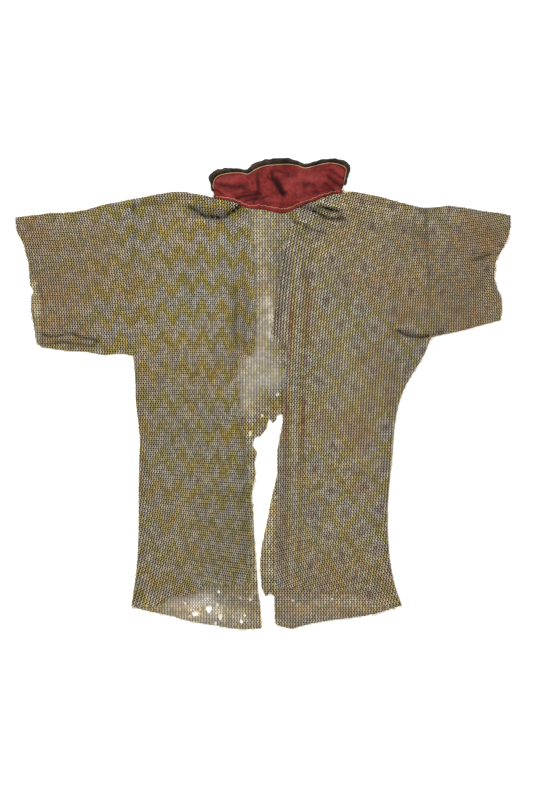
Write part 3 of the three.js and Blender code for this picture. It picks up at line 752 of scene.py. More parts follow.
def ring_group(wire):
    """Linked rings. Centre is the place in the weave of the ring that lies on top."""
    tree, g, start, end = new_group(
        "mail_rings", [("Weave", "v")], [("Height", "f"), ("Cover", "f"), ("Centre", "v")]
    )
    xyz = g.node("ShaderNodeSeparateXYZ", {"Vector": start["Weave"]}).outputs
    across, down = xyz["X"], xyz["Y"]
    top, centre_x, centre_y = None, None, None
    for parity in (0, 1):
        half = g.math("ROUND", g.math("MULTIPLY_ADD", down, 0.5 / ROW_PITCH, -0.5 * parity))
        row_y = g.math("MULTIPLY_ADD", half, 2 * ROW_PITCH, parity * ROW_PITCH)
        dy = g.math("SUBTRACT", down, row_y)
        column = g.math("ROUND", g.math("MULTIPLY_ADD", across, 1 / RING_PITCH, -0.5 * parity))
        near_x = g.math("MULTIPLY_ADD", column, RING_PITCH, 0.5 * RING_PITCH * parity)
        aside = g.math("SIGN", g.math("SUBTRACT", across, near_x))
        dy2 = g.math("POWER", g.math("DIVIDE", dy, RING_DOWN), 2.0)
        sign = 1 if parity == 0 else -1
        for neighbour in (0, 1):
            ring_x = near_x
            if neighbour:
                ring_x = g.math("MULTIPLY_ADD", aside, RING_PITCH, near_x)
            dx = g.math("SUBTRACT", across, ring_x)
            dx2 = g.math("POWER", g.math("DIVIDE", dx, RING_ACROSS), 2.0)
            reach = g.math("SUBTRACT", g.math("SQRT", g.math("ADD", dx2, dy2)), 1.0)
            share = g.math("MULTIPLY", reach, (RING_ACROSS + RING_DOWN) / wire)
            inside = g.math("SUBTRACT", 1.0, g.math("MULTIPLY", share, share), clamp=True)
            lean = g.math("MULTIPLY", dx, sign * RING_LEAN)
            rise = g.math("MULTIPLY_ADD", g.math("SQRT", inside), wire / 2, lean)
            height = g.blend(g.math("GREATER_THAN", inside, COVERED), GAP_HEIGHT, rise)
            if top is None:
                top, centre_x, centre_y = height, ring_x, row_y
                continue
            over = g.math("GREATER_THAN", height, top)
            top = g.math("MAXIMUM", height, top)
            centre_x = g.blend(over, centre_x, ring_x)
            centre_y = g.blend(over, centre_y, row_y)
    centre = g.node("ShaderNodeCombineXYZ", {"X": centre_x, "Y": centre_y}).outputs[0]
    g.feed(end["Height"], top)
    g.feed(end["Cover"], g.math("GREATER_THAN", top, GAP_HEIGHT + COVERED))
    g.feed(end["Centre"], centre)
    return tree


def zigzag_group():
    """1 on the brass rings of the zigzags."""
    tree, g, start, end = new_group("zigzags", [("Centre", "v")], [("Brass", "f")])
    xyz = g.node("ShaderNodeSeparateXYZ", {"Vector": start["Centre"]}).outputs
    turn = g.math("PINGPONG", xyz["X"], ZIGZAG_WIDTH / 2)
    climb = g.math("MULTIPLY_ADD", turn, 2 * ZIGZAG_CLIMB / ZIGZAG_WIDTH, xyz["Y"])
    phase = g.math("MULTIPLY_ADD", climb, 1 / ZIGZAG_RISE, 0.5 - ZIGZAG_CLIMB / 2 / ZIGZAG_RISE)
    g.feed(end["Brass"], g.math("LESS_THAN", g.math("FRACT", phase), BRASS_SHARE))
    return tree


def lozenge_group():
    """Brass is 1 on the lattice between the lozenges, and Dot is 1 on their dark middles."""
    tree, g, start, end = new_group("lozenges", [("Centre", "v")], [("Brass", "f"), ("Dot", "f")])
    xyz = g.node("ShaderNodeSeparateXYZ", {"Vector": start["Centre"]}).outputs
    across = g.math("DIVIDE", g.math("PINGPONG", xyz["X"], LOZENGE_WIDTH / 2), LOZENGE_WIDTH)
    lifted = g.math("ADD", xyz["Y"], LOZENGE_RISE / 2)
    down = g.math("DIVIDE", g.math("PINGPONG", lifted, LOZENGE_RISE / 2), LOZENGE_RISE)
    both = g.math("ADD", across, down)
    middle = g.math("MINIMUM", both, g.math("SUBTRACT", 1.0, both))
    g.feed(end["Brass"], g.math("GREATER_THAN", middle, LATTICE_START))
    g.feed(end["Dot"], g.math("LESS_THAN", middle, DOT_END))
    return tree


def border_group():
    """Line is 1 on the two copper lines, Strip is 1 between them and beside the opening, and Brass
    is 1 on the brass stripe inside each line."""
    tree, g, start, end = new_group(
        "border_lines", [("Share", "f")], [("Line", "f"), ("Strip", "f"), ("Brass", "f")]
    )
    from_outer = g.math("ABSOLUTE", g.math("SUBTRACT", start["Share"], 1.0))
    nearest = g.math("MINIMUM", from_outer, g.math("ABSOLUTE", start["Share"]))
    g.feed(end["Line"], g.ramp(nearest, LINE_FADED, LINE_CLEAR))
    g.feed(end["Strip"], g.math("LESS_THAN", start["Share"], 1.0))
    from_middle = g.math("ABSOLUTE", g.math("SUBTRACT", start["Share"], 0.5))
    g.feed(end["Brass"], g.math("COMPARE", from_middle, STRIPE_PLACE, STRIPE_REACH))
    return tree


def tone_group():
    """Uneven tone, warmth and rust over the mail. Speckle differs from ring to ring."""
    tree, g, start, end = new_group(
        "mail_tone",
        [("Centre", "v"), ("Rust", "f")],
        [("Tone", "f"), ("Warm", "f"), ("Rust", "f"), ("Speckle", "f")],
    )
    place = g.node("ShaderNodeTexCoord").outputs["Object"]
    broad = g.noise(place, BROAD_SCALE, 3.0)
    patches = g.noise(place, PATCH_SCALE, 3.0)
    patchy = g.math("MULTIPLY", patches, PATCH_PART)
    g.feed(end["Tone"], g.math("ADD", g.math("MULTIPLY", broad, BROAD_PART), patchy))
    speckle = g.node("ShaderNodeTexWhiteNoise", {"Vector": start["Centre"]}, noise_dimensions="3D")
    g.feed(end["Speckle"], speckle.outputs["Value"])
    warmth = g.math("ADD", broad, g.math("MULTIPLY", patches, 0.5))
    g.feed(end["Warm"], g.ramp(warmth, WARM_LOW, WARM_HIGH))
    speckled = g.math("MULTIPLY", speckle.outputs["Value"], RUST_SPECKLE)
    rusty = g.ramp(g.math("MULTIPLY_ADD", patches, RUST_PATCH, speckled), RUST_LOW, RUST_HIGH)
    g.feed(end["Rust"], g.math("MULTIPLY", start["Rust"], rusty))
    return tree


def new_material(name):
    material = bpy.data.materials.new(name)
    material.use_nodes = True
    material.node_tree.nodes.clear()
    graph = Graph(material.node_tree)
    shader = graph.node("ShaderNodeBsdfPrincipled")
    output = graph.node("ShaderNodeOutputMaterial")
    graph.feed(output.inputs["Surface"], shader.outputs[0])
    return material, graph, shader


def attribute(g, name):
    return g.node("ShaderNodeAttribute", attribute_name=name).outputs["Fac"]


def colour(rgb):
    return (rgb[0], rgb[1], rgb[2], 1.0)


def woven_rings(g, groups):
    """The rings drawn on a panel, by its weave."""
    uv = g.node("ShaderNodeUVMap", uv_map="weave").outputs[0]
    return g.group(groups["rings"], Weave=g.scaled(uv, 1 / MM))


def mail_metal(g, look, groups, pattern, rings, tone):
    """The rings' colour: iron and brass by the pattern, and over them tarnish, dots, copper and rust."""
    iron = g.blend(tone["Tone"], colour(look.iron_dark), colour(look.iron), "RGBA")
    brass = g.blend(tone["Tone"], colour(look.brass_dark), colour(look.brass), "RGBA")
    dot, copper = 0.0, 0.0
    if pattern == "zigzag":
        is_brass = g.group(groups["zigzags"], Centre=rings["Centre"])["Brass"]
    else:
        cell = g.group(groups["lozenges"], Centre=rings["Centre"])
        border = g.group(groups["border"], Share=attribute(g, "border"))
        is_brass = g.blend(border["Strip"], cell["Brass"], border["Brass"])
        is_brass = g.math("MULTIPLY", is_brass, LOZENGE_BRASS)
        dot = g.math("MULTIPLY", cell["Dot"], g.math("SUBTRACT", 0.65, border["Strip"], clamp=True))
        copper = g.math("MULTIPLY", border["Line"], attribute(g, "copper"))
    aged = g.math("MULTIPLY", attribute(g, "faded"), AGED_SHARE)
    share = g.blend(aged, is_brass, 0.5)
    metal = g.blend(share, iron, brass, "RGBA")
    metal = g.blend(g.math("MULTIPLY", aged, AGED_TINT), metal, colour(look.aged), "RGBA")
    warmed = g.node("ShaderNodeVectorMath", operation="MULTIPLY")
    g.feed(warmed.inputs[0], metal)
    warmed.inputs[1].default_value = WARM_TINT
    metal = g.blend(tone["Warm"], metal, warmed.outputs[0], "RGBA")
    metal = g.blend(dot, metal, colour(look.dot), "RGBA")
    copper = g.math("MULTIPLY", copper, g.ramp(tone["Tone"], COPPER_LOW, COPPER_HIGH))
    metal = g.blend(copper, metal, colour(look.copper), "RGBA")
    return g.blend(tone["Rust"], metal, colour(look.rust), "RGBA")


def ring_brightness(g, look, rings, tone, kind):
    """Random tone and painted glints on each ring, with painted shade low down, on every second row and in
    shaded places.
    """
    # Random tone from ring to ring, with painted glints on the few brightest rings.
    bright = g.math("MULTIPLY_ADD", g.math("POWER", tone["Speckle"], 1.5), TONE_AND_GLINT, DIMMEST_RING)
    if kind != "solid":
        # Painted shade: the lower parts of a ring are drawn darker.
        under_shade = g.ramp(rings["Height"], UNDER_SHADE_LOW, UNDER_SHADE_HIGH)
        bright = g.math("MULTIPLY", bright, g.math("MULTIPLY_ADD", under_shade, 1 - UNDER_SHADE_BRIGHTNESS, UNDER_SHADE_BRIGHTNESS))
    row_y = g.node("ShaderNodeSeparateXYZ", {"Vector": rings["Centre"]}).outputs["Y"]
    # Painted shade on every second row, whose rings lean the other way.
    second = g.math("PINGPONG", g.math("DIVIDE", row_y, ROW_PITCH), 1.0)
    bright = g.math("MULTIPLY", bright, g.math("MULTIPLY_ADD", second, -ROW_SHADE, 1.0))
    # Painted shade: the gaps between the rings are drawn dark.
    bright = g.blend(rings["Cover"], look.gap, bright)
    # Painted shade and painted light from the shade attribute, stronger on some rings than others.
    depth = g.math("MULTIPLY_ADD", tone["Speckle"], SHADE_SPECKLE, SHADE_LEAST)
    shade = g.math("MULTIPLY", attribute(g, "shade"), depth)
    return g.math("MULTIPLY", bright, g.math("SUBTRACT", 1.0, shade))


def mail_material(name, look, groups, pattern, kind):
    """Ring mail of two metals. The kind is a closed sheet, an open sheet with gaps, or solid rings."""
    material, g, shader = new_material(name)
    if kind == "solid":
        centre = g.node("ShaderNodeAttribute", attribute_name="centre").outputs["Vector"]
        rings = {"Centre": centre, "Cover": 1.0, "Height": UNDER_SHADE_HIGH}
    else:
        rings = woven_rings(g, groups)
    tone = g.group(groups["tone"], Centre=rings["Centre"], Rust=attribute(g, "rust"))
    metal = mail_metal(g, look, groups, pattern, rings, tone)
    bright = ring_brightness(g, look, rings, tone, kind)
    g.feed(shader.inputs["Base Color"], g.scaled(metal, bright))
    rough = g.math("MULTIPLY_ADD", tone["Rust"], RUST_ROUGHNESS, look.polish)
    g.feed(shader.inputs["Roughness"], g.blend(rings["Cover"], 1.0, rough))
    worn = g.math("MULTIPLY_ADD", tone["Rust"], RUST_METALLIC, METALLIC)
    g.feed(shader.inputs["Metallic"], g.math("MULTIPLY", rings["Cover"], worn))
    if kind == "solid":
        return material
    bump = g.node("ShaderNodeBump", {"Height": rings["Height"], "Distance": MM, "Strength": BUMP_STRENGTH})
    g.feed(shader.inputs["Normal"], bump.outputs[0])
    if kind == "open":
        behind = g.math("SUBTRACT", 1.0, attribute(g, "open"))
        g.feed(shader.inputs["Alpha"], g.math("MAXIMUM", rings["Cover"], behind))
    return material


# Settings

def tint(name, description, default):
    """A colour that can be set in the sidebar."""
    return FloatVectorProperty(
        name=name, description=description, subtype="COLOR", size=3, min=0, max=1, default=default
    )


def amount(name, description, default, **limits):
    """A number that can be set in the sidebar."""
    return FloatProperty(name=name, description=description, default=default, **limits)


class MailSettings(bpy.types.PropertyGroup):
    """Sizes and colours of the rings."""

    wire: amount("Wire", "Thickness of the wire in mm", 0.82, min=0.5, max=1.4)
    iron: tint("Iron", "Colour of clean iron rings", (0.81, 0.75, 0.63))
    iron_dark: tint("Dark iron", "Colour of tarnished iron", (0.57, 0.51, 0.41))
    brass: tint("Brass", "Colour of clean brass rings", (0.71, 0.605, 0.215))
    brass_dark: tint("Dark brass", "Colour of tarnished brass", (0.51, 0.415, 0.118))
    copper: tint("Copper", "Colour of the border's lines", (0.46, 0.20, 0.12))
    dot: tint("Dots", "Colour of the lozenges' middles", (0.42, 0.29, 0.22))
    rust: tint("Rust", "Colour of rust and old wax", (0.57, 0.345, 0.18))
    aged: tint("Aged metal", "Colour of both metals where they are dull", (0.64, 0.52, 0.35))
    # Painted shade: how dark the gaps between the rings are drawn, for their depth and the layer beneath.
    gap: amount("Gaps", "Brightness deep between the rings", 0.035, min=0, max=1)
    polish: amount("Roughness", "Roughness of the metal", 0.38, min=0, max=1)


class CollarSettings(bpy.types.PropertyGroup):
    """Colours of the collar."""

    lining: tint("Lining", "Colour of the red inner cloth", (0.217, 0.0155, 0.0132))
    velvet: tint("Velvet", "Colour of the outer cloth", (0.036, 0.022, 0.016))
    cord: tint("Cord", "Colour of the piping and the stitches", (0.72, 0.47, 0.23))


class StageSettings(bpy.types.PropertyGroup):
    """The floor, the lights and the camera."""

    camera_height: amount("Camera height", "Height of the camera above the floor", 3.667, unit="LENGTH")
    dome: amount("Dome", "Strength of the even light", 0.7, min=0)
    glow: amount("Floor glow", "Strength of the light of the floor itself", 0.5, min=0)
    key: amount("Key light", "Power of the large light in watts", 40.0, min=0)


def shared_groups(look):
    """The node groups that all the mail uses, made once."""
    makers = {
        "rings": ("mail_rings", lambda: ring_group(look.wire)),
        "zigzags": ("zigzags", zigzag_group),
        "lozenges": ("lozenges", lozenge_group),
        "border": ("border_lines", border_group),
        "tone": ("mail_tone", tone_group),
    }
    return {key: bpy.data.node_groups.get(name) or make() for key, (name, make) in makers.items()}


# Each panel of mail: its drape and pattern, whether light shows through it, the height of its underside in
# millimetres, the piece it rests on, and its width, length and area laid flat, in metres.
PANELS = table("node slot drape pattern open base rests_on width length area", [
    ("back", "mail_back", DRAPE_BACK, "zigzag", True, 0, [], 0.47, 0.74, 0.305),
    ("front_right", "mail_zigzag", DRAPE_RIGHT, "zigzag", False, UPPER, ["mail_back"], 0.205, 0.68, 0.125),
    ("front_left", "mail_lozenge", DRAPE_LEFT, "lozenge", False, UPPER, ["mail_back"], 0.262, 0.68, 0.14),
    ("sleeve_right_lower", "mail_back", DRAPE_RIGHT, "zigzag", True, 0, [], 0.19, 0.25, 0.042),
    ("sleeve_right_upper", "mail_zigzag", DRAPE_RIGHT, "zigzag", False, UPPER,
     ["mail_sleeve_right_lower"], 0.195, 0.255, 0.043),
    ("sleeve_left_lower", "mail_back", DRAPE_LEFT, "lozenge", True, 0, [], 0.137, 0.21, 0.026),
    ("sleeve_left_upper", "mail_lozenge", DRAPE_LEFT, "lozenge", False, UPPER,
     ["mail_sleeve_left_lower"], 0.14, 0.215, 0.027),
])


def rings_of(kind, pattern, look, groups):
    """The ring material of one kind and pattern, made once."""
    name = f"{kind}_{pattern}_rings"
    return bpy.data.materials.get(name) or mail_material(name, look, groups, pattern, kind)


def border_share(x, y):
    """0 on the inner copper line and 1 on the outer one."""
    upward = BORDER[::-1]
    heights = [r["y"] for r in upward]
    inner = np.interp(y, heights, [r["inner"] for r in upward])
    outer = np.interp(y, heights, [r["outer"] for r in upward])
    return (x - inner) / (outer - inner)


def spread(rows, x, y):
    """How strongly the tabled patches cover each place."""
    clear = np.ones_like(x)
    for r in rows:
        near = np.exp(-(((x - r["x"]) ** 2 + (y - r["y"]) ** 2) / r["reach"] ** 2))
        clear *= 1 - r["strength"] * near
    return 1 - clear


def set_wear_and_painted_shade(mesh, node, x, y, folds):
    """Where the mail is rusty, faded and stretched, where painted shade and painted light fall on it, and
    how far it is across the border.
    """
    below = node == "back" or node.endswith("lower")
    rusty = LOWER_RUST if node.endswith("lower") else 1.0
    # Painted shade in the creases and in the tabled shadows, and painted light where those tables go below
    # 0.
    shade = np.clip(-folds / CREASE_SHADE, 0, 1) + relief(SHADOWS, x, y)
    if below:
        shade += relief(SHADOWS_BELOW, x, y)
    set_attribute(mesh, "rust", spread(RUST, x, y) * rusty)
    set_attribute(mesh, "faded", spread(FADED_BACK if node == "back" else FADED, x, y))
    set_attribute(mesh, "open", spread(OPEN_GAPS, x, y))
    set_attribute(mesh, "shade", shade)
    set_attribute(mesh, "border", border_share(x, y))
    set_attribute(mesh, "copper", np.interp(y, COPPER_HEIGHTS, COPPER_SHARES))


def from_armhole(node, points):
    """How far each place is from the armhole's joint on the panel's side, along x."""
    at_zero, slope = ARMHOLES["right" if "right" in node else "left"]
    return points[:, 0] - at_zero - slope * points[:, 1]


def close_armhole(node, mesh):
    """Moves a sleeve's inner edge up to the body, so that no light shows through the joint."""
    points = points_of(mesh)
    inward = 1 if "right" in node else -1
    points[np.abs(from_armhole(node, points)) < ARMHOLE_NEAR, 0] += inward * ARMHOLE_SHIFT
    set_points(mesh, points)


def crease_mail(mesh, base, folds):
    """Raises and lowers the top of an upper panel by its folds and a slight unevenness."""
    points, normals = points_of(mesh), normals_of(mesh)
    x, y, z = points.T
    upward = (normals[:, 2] > 0.5) & (z > base + 0.8 * MAIL)
    ease = UNEVEN * np.sin(x / 23 + 0.4 * np.sin(y / 31)) * np.sin(y / 37 + 1.3 * np.sin(x / 41))
    deepest = -CREASE_DEEPEST - np.maximum(0, z - base - MAIL)
    moved = np.where(folds < 0, np.maximum(folds, deepest), folds) + ease
    points[upward, 2] += moved[upward]
    set_points(mesh, points)


def lay_weave(mesh, panel, points, normals):
    """Maps the weave, which runs on over the edges by how far each point is below the top."""
    drop = np.maximum(0, panel["base"] + MAIL - points[:, 2]) * (np.abs(normals[:, 2]) < 0.9)
    aside = np.hypot(normals[:, 0], normals[:, 1]) + 1e-6
    across, down = weave(panel["drape"], points[:, 0], points[:, 1])
    across += drop * normals[:, 0] / aside
    down += drop * normals[:, 1] / aside
    if mesh.uv_layers:
        mesh.uv_layers.remove(mesh.uv_layers[0])
    set_uv(mesh, "weave", across * MM, down * MM)


def build_panel(panel, look, groups):
    node = panel["node"]
    piece = copy_of(node, "mail_" + node)
    if node.startswith("sleeve"):
        close_armhole(node, piece.data)
    cut_grid(piece, GRID)
    if panel["base"]:
        refine_near(piece, CREASES)
    mesh = piece.data
    points, normals = points_of(mesh), normals_of(mesh)
    x, y = points[:, 0], points[:, 1]
    folds = relief(CREASES, x, y)
    if panel["base"]:
        crease_mail(mesh, panel["base"], folds)
    set_wear_and_painted_shade(mesh, node, x, y, folds)
    lay_weave(mesh, panel, points, normals)
    kind = "open" if panel["open"] else "closed"
    finish_piece(piece, rings_of(kind, panel["pattern"], look, groups))


def rim_samples(node):
    """Places along the edges of a solid, with the outward direction and the lowest height."""
    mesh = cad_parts[node].data
    points = points_of(mesh)
    places, outward, lowest = [], [], []
    for face in mesh.polygons:
        if abs(face.normal.z) > 0.3:
            continue
        corners = points[list(face.vertices)]
        start, end = corners[corners[:, 0].argmin()], corners[corners[:, 0].argmax()]
        if abs(end[0] - start[0]) < abs(corners[:, 1].max() - corners[:, 1].min()):
            start, end = corners[corners[:, 1].argmin()], corners[corners[:, 1].argmax()]
        count = max(1, int(np.hypot(*(end - start)[:2]) / RIM_STEP))
        for t in (np.arange(count) + 0.5) / count:
            places.append(start[:2] + (end - start)[:2] * t)
            outward.append(np.array(face.normal[:2]) / math.hypot(*face.normal[:2]))
            lowest.append(corners[:, 2].min())
    return np.array(places), np.array(outward), np.array(lowest)


def tree_of(mesh):
    """A mesh in a form in which heights can be looked up."""
    faces = [list(face.vertices) for face in mesh.polygons]
    return BVHTree.FromPolygons([vertex.co for vertex in mesh.vertices], faces)


def top_at(tree, x, y):
    """The height of a surface at a place, or none."""
    hit = tree.ray_cast(Vector((x * MM, (y + FRAME_Y) * MM, 0.1)), Vector((0, 0, -1)))[0]
    return None if hit is None else hit.z / MM


def is_free(node, place, base, trees):
    """Whether no other mail or collar stands at the same height beside an edge."""
    heights = [top_at(tree, *place) for name, tree in trees.items() if name != node]
    return all(height is None or height < base + FREE_HEIGHT for height in heights)


def edge_places(panel, trees):
    """Places on a panel's free edges and joints, the way out, and if it turns under or joins there."""
    node, base = panel["node"], panel["base"]
    places, outward, lowest = rim_samples(node)
    fold = (lowest < base - 1) & (base > 0)
    free = np.array([is_free(node, p + FREE_STEP * o, base, trees) for p, o in zip(places, outward)])
    seam = (np.abs(from_armhole(node, places)) < ARMHOLE_NEAR) & node.startswith("front")
    kept = free | seam
    return places[kept], outward[kept], fold[kept], seam[kept]


def rings_near(places, drape):
    """The row and column of each ring near the places, with which of the places it is near."""
    across, down = weave(drape, places[:, 0], places[:, 1])
    found = {}
    for row_step in (-1, 0, 1):
        row = np.round(down / ROW_PITCH).astype(int) + row_step
        for step in (-1, 0, 1):
            shift = 0.5 * (row % 2)
            column = np.round(across / RING_PITCH - shift).astype(int) + step
            for k, key in enumerate(zip(row, column)):
                found.setdefault(key, []).append(k)
    return found


def edge_rings(panel, trees):
    """Where separate rings hang: x, y, the weave across and down, the row's lean, and if at a joint."""
    places, outward, fold, seam = edge_places(panel, trees)
    drape = panel["drape"]
    chance = np.random.default_rng(len(places))
    rings = []
    for (row, column), near in rings_near(places, drape).items():
        target = ((column + 0.5 * (row % 2)) * RING_PITCH, row * ROW_PITCH)
        place = unweave(drape, target, places[near[0]])
        gaps = places[near] - place
        nearest = near[int(np.argmin((gaps ** 2).sum(axis=1)))]
        beyond = float((place - places[nearest]) @ outward[nearest])
        aside = float(np.hypot(*(place - places[nearest])))
        reach = EDGE_REACH * chance.random() ** EDGE_RAGGED
        if seam[nearest] or fold[nearest]:
            reach = SEAM_REACH if seam[nearest] else FOLD_REACH
        if -EDGE_INSIDE < beyond < reach and aside < abs(beyond) + EDGE_ASIDE:
            rings.append((*place, *target, row % 2, seam[nearest]))
    return np.array(rings)


def unweave(drape, target, start):
    """The place whose weave is the given one, by Newton's method from a place nearby."""
    place = np.array(start, dtype=float)
    for _ in range(4):
        around = np.array([place, place + (UNWEAVE_STEP, 0), place + (0, UNWEAVE_STEP)])
        across, down = weave(drape, around[:, 0], around[:, 1])
        slopes = np.array([across[1:] - across[0], down[1:] - down[0]]) / UNWEAVE_STEP
        place = place - np.linalg.solve(slopes, [across[0] - target[0], down[0] - target[1]])
    return place


def single_ring(wire):
    """One ring, modelled once and then set at every place."""
    bpy.ops.object.select_all(action="DESELECT")
    bpy.ops.mesh.primitive_torus_add(
        major_segments=12, minor_segments=4, major_radius=RING_DOWN * MM, minor_radius=wire / 2 * MM
    )
    ring = bpy.context.object
    ring.name = "single_ring"
    bpy.ops.object.mode_set(mode="EDIT")
    bpy.ops.mesh.select_all(action="SELECT")
    bpy.ops.transform.resize(value=(RING_ACROSS / RING_DOWN, 1, 1), center_override=(0, 0, 0))
    bpy.ops.object.mode_set(mode="OBJECT")
    return ring


def scatter_tree(ring):
    """Sets a ring at each point, turned as the point says, and makes them real."""
    tree = bpy.data.node_groups.new("set_rings", "GeometryNodeTree")
    tree.interface.new_socket("Geometry", in_out="INPUT", socket_type="NodeSocketGeometry")
    tree.interface.new_socket("Geometry", in_out="OUTPUT", socket_type="NodeSocketGeometry")
    g = Graph(tree)
    source = g.node("GeometryNodeObjectInfo", {"Object": ring}).outputs["Geometry"]
    turn = g.node("GeometryNodeInputNamedAttribute", {"Name": "turn"}, data_type="FLOAT_VECTOR").outputs[0]
    start = g.node("NodeGroupInput").outputs[0]
    placed = g.node("GeometryNodeInstanceOnPoints", {"Points": start, "Instance": source, "Rotation": turn})
    real = g.node("GeometryNodeRealizeInstances", {"Geometry": placed.outputs[0]}).outputs[0]
    g.node("NodeGroupOutput", {"Geometry": real})
    return tree


def build_edge(panel, look, groups, tree, trees):
    """The separate rings along a panel's free edges, as one piece."""
    node = panel["node"]
    x, y, across, down, row, seam = edge_rings(panel, trees).T
    loose = np.random.default_rng(len(x)).random((len(x), 3)) - 0.5
    heights = panel["base"] + EDGE_LIFT + EDGE_LOOSE * loose[:, 0] + seam * SEAM_LIFT
    mesh = bpy.data.meshes.new("edge_" + node)
    places = np.column_stack([x, y + FRAME_Y, heights]) * MM
    mesh.from_pydata(places.tolist(), [], [])
    lean = np.where(row == 0, -1, 1) * math.atan(RING_LEAN)
    aside, tilt, round_up = EDGE_TURNS
    turns = np.column_stack([aside * loose[:, 1], lean + tilt * loose[:, 2], round_up * loose[:, 0]])
    set_attribute(mesh, "turn", turns)
    set_attribute(mesh, "centre", np.column_stack([across, down, np.zeros(len(x))]))
    # Painted shade on the separate rings, more of it at a joint.
    set_wear_and_painted_shade(mesh, node, x, y, -EDGE_PAINTED_SHADE - SEAM_PAINTED_SHADE * seam)
    piece = bpy.data.objects.new("edge_rings_" + node, mesh)
    bpy.context.scene.collection.objects.link(piece)
    select_only(piece)
    setter = piece.modifiers.new("rings", "NODES")
    setter.node_group = tree
    bpy.ops.object.modifier_apply(modifier=setter.name)
    finish_piece(piece, rings_of("solid", panel["pattern"], look, groups), angle=80)
    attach(piece, "root")


class BuildEdges(bpy.types.Operator):
    """Builds the separate rings at the hems, openings, cuffs and rips"""

    bl_idname = "mailshirt.edges"
    bl_label = "Build the edge rings"

    def execute(self, context):
        look = context.scene.mail_shirt_mail
        groups = shared_groups(look)
        ring = single_ring(look.wire)
        tree = scatter_tree(ring)
        trees = {name: tree_of(solid.data) for name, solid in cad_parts.items()}
        for panel in PANELS:
            build_edge(panel, look, groups, tree, trees)
        bpy.data.objects.remove(ring)
        return {"FINISHED"}


class BuildMail(bpy.types.Operator):
    """Builds the panels of linked rings"""

    bl_idname = "mailshirt.mail"
    bl_label = "Build the mail"

    def execute(self, context):
        look = context.scene.mail_shirt_mail
        groups = shared_groups(look)
        for panel in PANELS:
            build_panel(panel, look, groups)
        return {"FINISHED"}


# The collar

# The cloths of the collar: how fine their weave is, how much they shine, how rough and how uneven they are,
# and how deep their crinkles are in millimetres.
CLOTHS = {row["part"]: row for row in table("part name weave sheen roughness uneven crinkles", [
    ("lining", "collar_red", 900.0, 0.02, 0.5, 0.4, 1.6),
    ("velvet", "collar_black", 1400.0, 0.12, 0.95, 0.6, 1.2),
    ("cord", "collar_gold", 2000.0, 0.1, 0.55, 0.3, 0.3),
])}


def shades_of(rgb, uneven):
    """A cloth's worn dark and light tones, the colour of its painted shadow and that of its painted
    highlight.
    """
    dark = colour([c * (1 - uneven) for c in rgb])
    light = colour([min(1, c * (1 + uneven) + 0.01) for c in rgb])
    shadow = colour([c * 0.1 for c in rgb])
    shine = colour([c ** 0.69 for c in rgb])
    return dark, light, shadow, shine


def woven_material(part, rgb):
    """A woven cloth with fine threads and uneven fading."""
    look = CLOTHS[part]
    material, g, shader = new_material(look["name"])
    dark, light, shadow, shine = shades_of(rgb, look["uneven"])
    place = g.node("ShaderNodeTexCoord").outputs["Object"]
    fade = g.noise(place, FADE_SCALE, 5.0)
    worn = g.noise(place, WORN_SCALE, 3.0)
    threads = []
    for direction in ("X", "Y"):
        waves = {"Vector": place, "Scale": look["weave"], "Distortion": 0.6}
        threads.append(g.node("ShaderNodeTexWave", waves, bands_direction=direction).outputs["Fac"])
    cloth = g.math("MAXIMUM", threads[0], threads[1])
    mixed = g.math("MULTIPLY_ADD", fade, FADE_PART, g.math("MULTIPLY", worn, WORN_PART))
    base = g.blend(g.ramp(mixed, CLOTH_DARK, CLOTH_LIGHT), dark, light, "RGBA")
    between = g.math("SUBTRACT", 1.0, cloth)
    base = g.blend(g.math("MULTIPLY", between, THREAD_SHADE), base, dark, "RGBA")
    # Painted shadow in the wrinkles and the satin's dark parts, painted highlight on its light parts.
    base = g.blend(attribute(g, "shade"), base, shadow, "RGBA")
    base = g.blend(attribute(g, "shine"), base, shine, "RGBA")
    g.feed(shader.inputs["Base Color"], base)
    g.feed(shader.inputs["Roughness"], g.math("MULTIPLY_ADD", worn, 0.25, look["roughness"] - 0.1))
    shader.inputs["Specular IOR Level"].default_value = CLOTH_SPECULAR
    shader.inputs["Sheen Weight"].default_value = look["sheen"]
    shader.inputs["Sheen Roughness"].default_value = SHEEN_ROUGHNESS
    crinkle = g.noise(place, CRINKLE_SCALE, 4.0, distortion=0.8)
    depth = look["crinkles"] * MM
    soft = g.node("ShaderNodeBump", {"Height": crinkle, "Distance": depth, "Strength": 0.8})
    bump = g.node("ShaderNodeBump", {"Height": cloth, "Distance": THREAD_DEPTH * MM, "Strength": 0.5})
    g.feed(bump.inputs["Normal"], soft.outputs[0])
    g.feed(shader.inputs["Normal"], bump.outputs[0])
    return material


def collar_line(first, second, share, count):
    """A smooth line a share of the way between two lines of the collar."""
    rows = [
        (r[first + "X"] + (r[second + "X"] - r[first + "X"]) * share,
         r[first + "Y"] + (r[second + "Y"] - r[first + "Y"]) * share)
        for r in COLLAR
    ]
    return smooth_line(rows, count)


def tube(name, lines, radius, material, sides=1):
    """One mesh of round threads along lines of points."""
    curve = bpy.data.curves.new(name, "CURVE")
    curve.dimensions = "3D"
    curve.bevel_depth = radius * MM
    curve.bevel_resolution = sides
    curve.use_fill_caps = True
    for line in lines:
        spline = curve.splines.new("POLY")
        spline.points.add(len(line) - 1)
        placed = np.column_stack([line[:, 0], line[:, 1] + FRAME_Y, line[:, 2]]) * MM
        for point, place in zip(spline.points, placed):
            point.co = (*place, 1.0)
    piece = bpy.data.objects.new(name, curve)
    bpy.context.scene.collection.objects.link(piece)
    select_only(piece)
    bpy.ops.object.convert(target="MESH")
    piece = bpy.context.view_layer.objects.active
    piece.name = name
    set_attribute(piece.data, "shade", np.zeros(len(piece.data.vertices)))
    finish_piece(piece, material, angle=80)
    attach(piece, "root")
    return piece


def tops_along(tree, line):
    """The height of a surface along a line."""
    return np.array([top_at(tree, x, y) or UPPER for x, y in line])


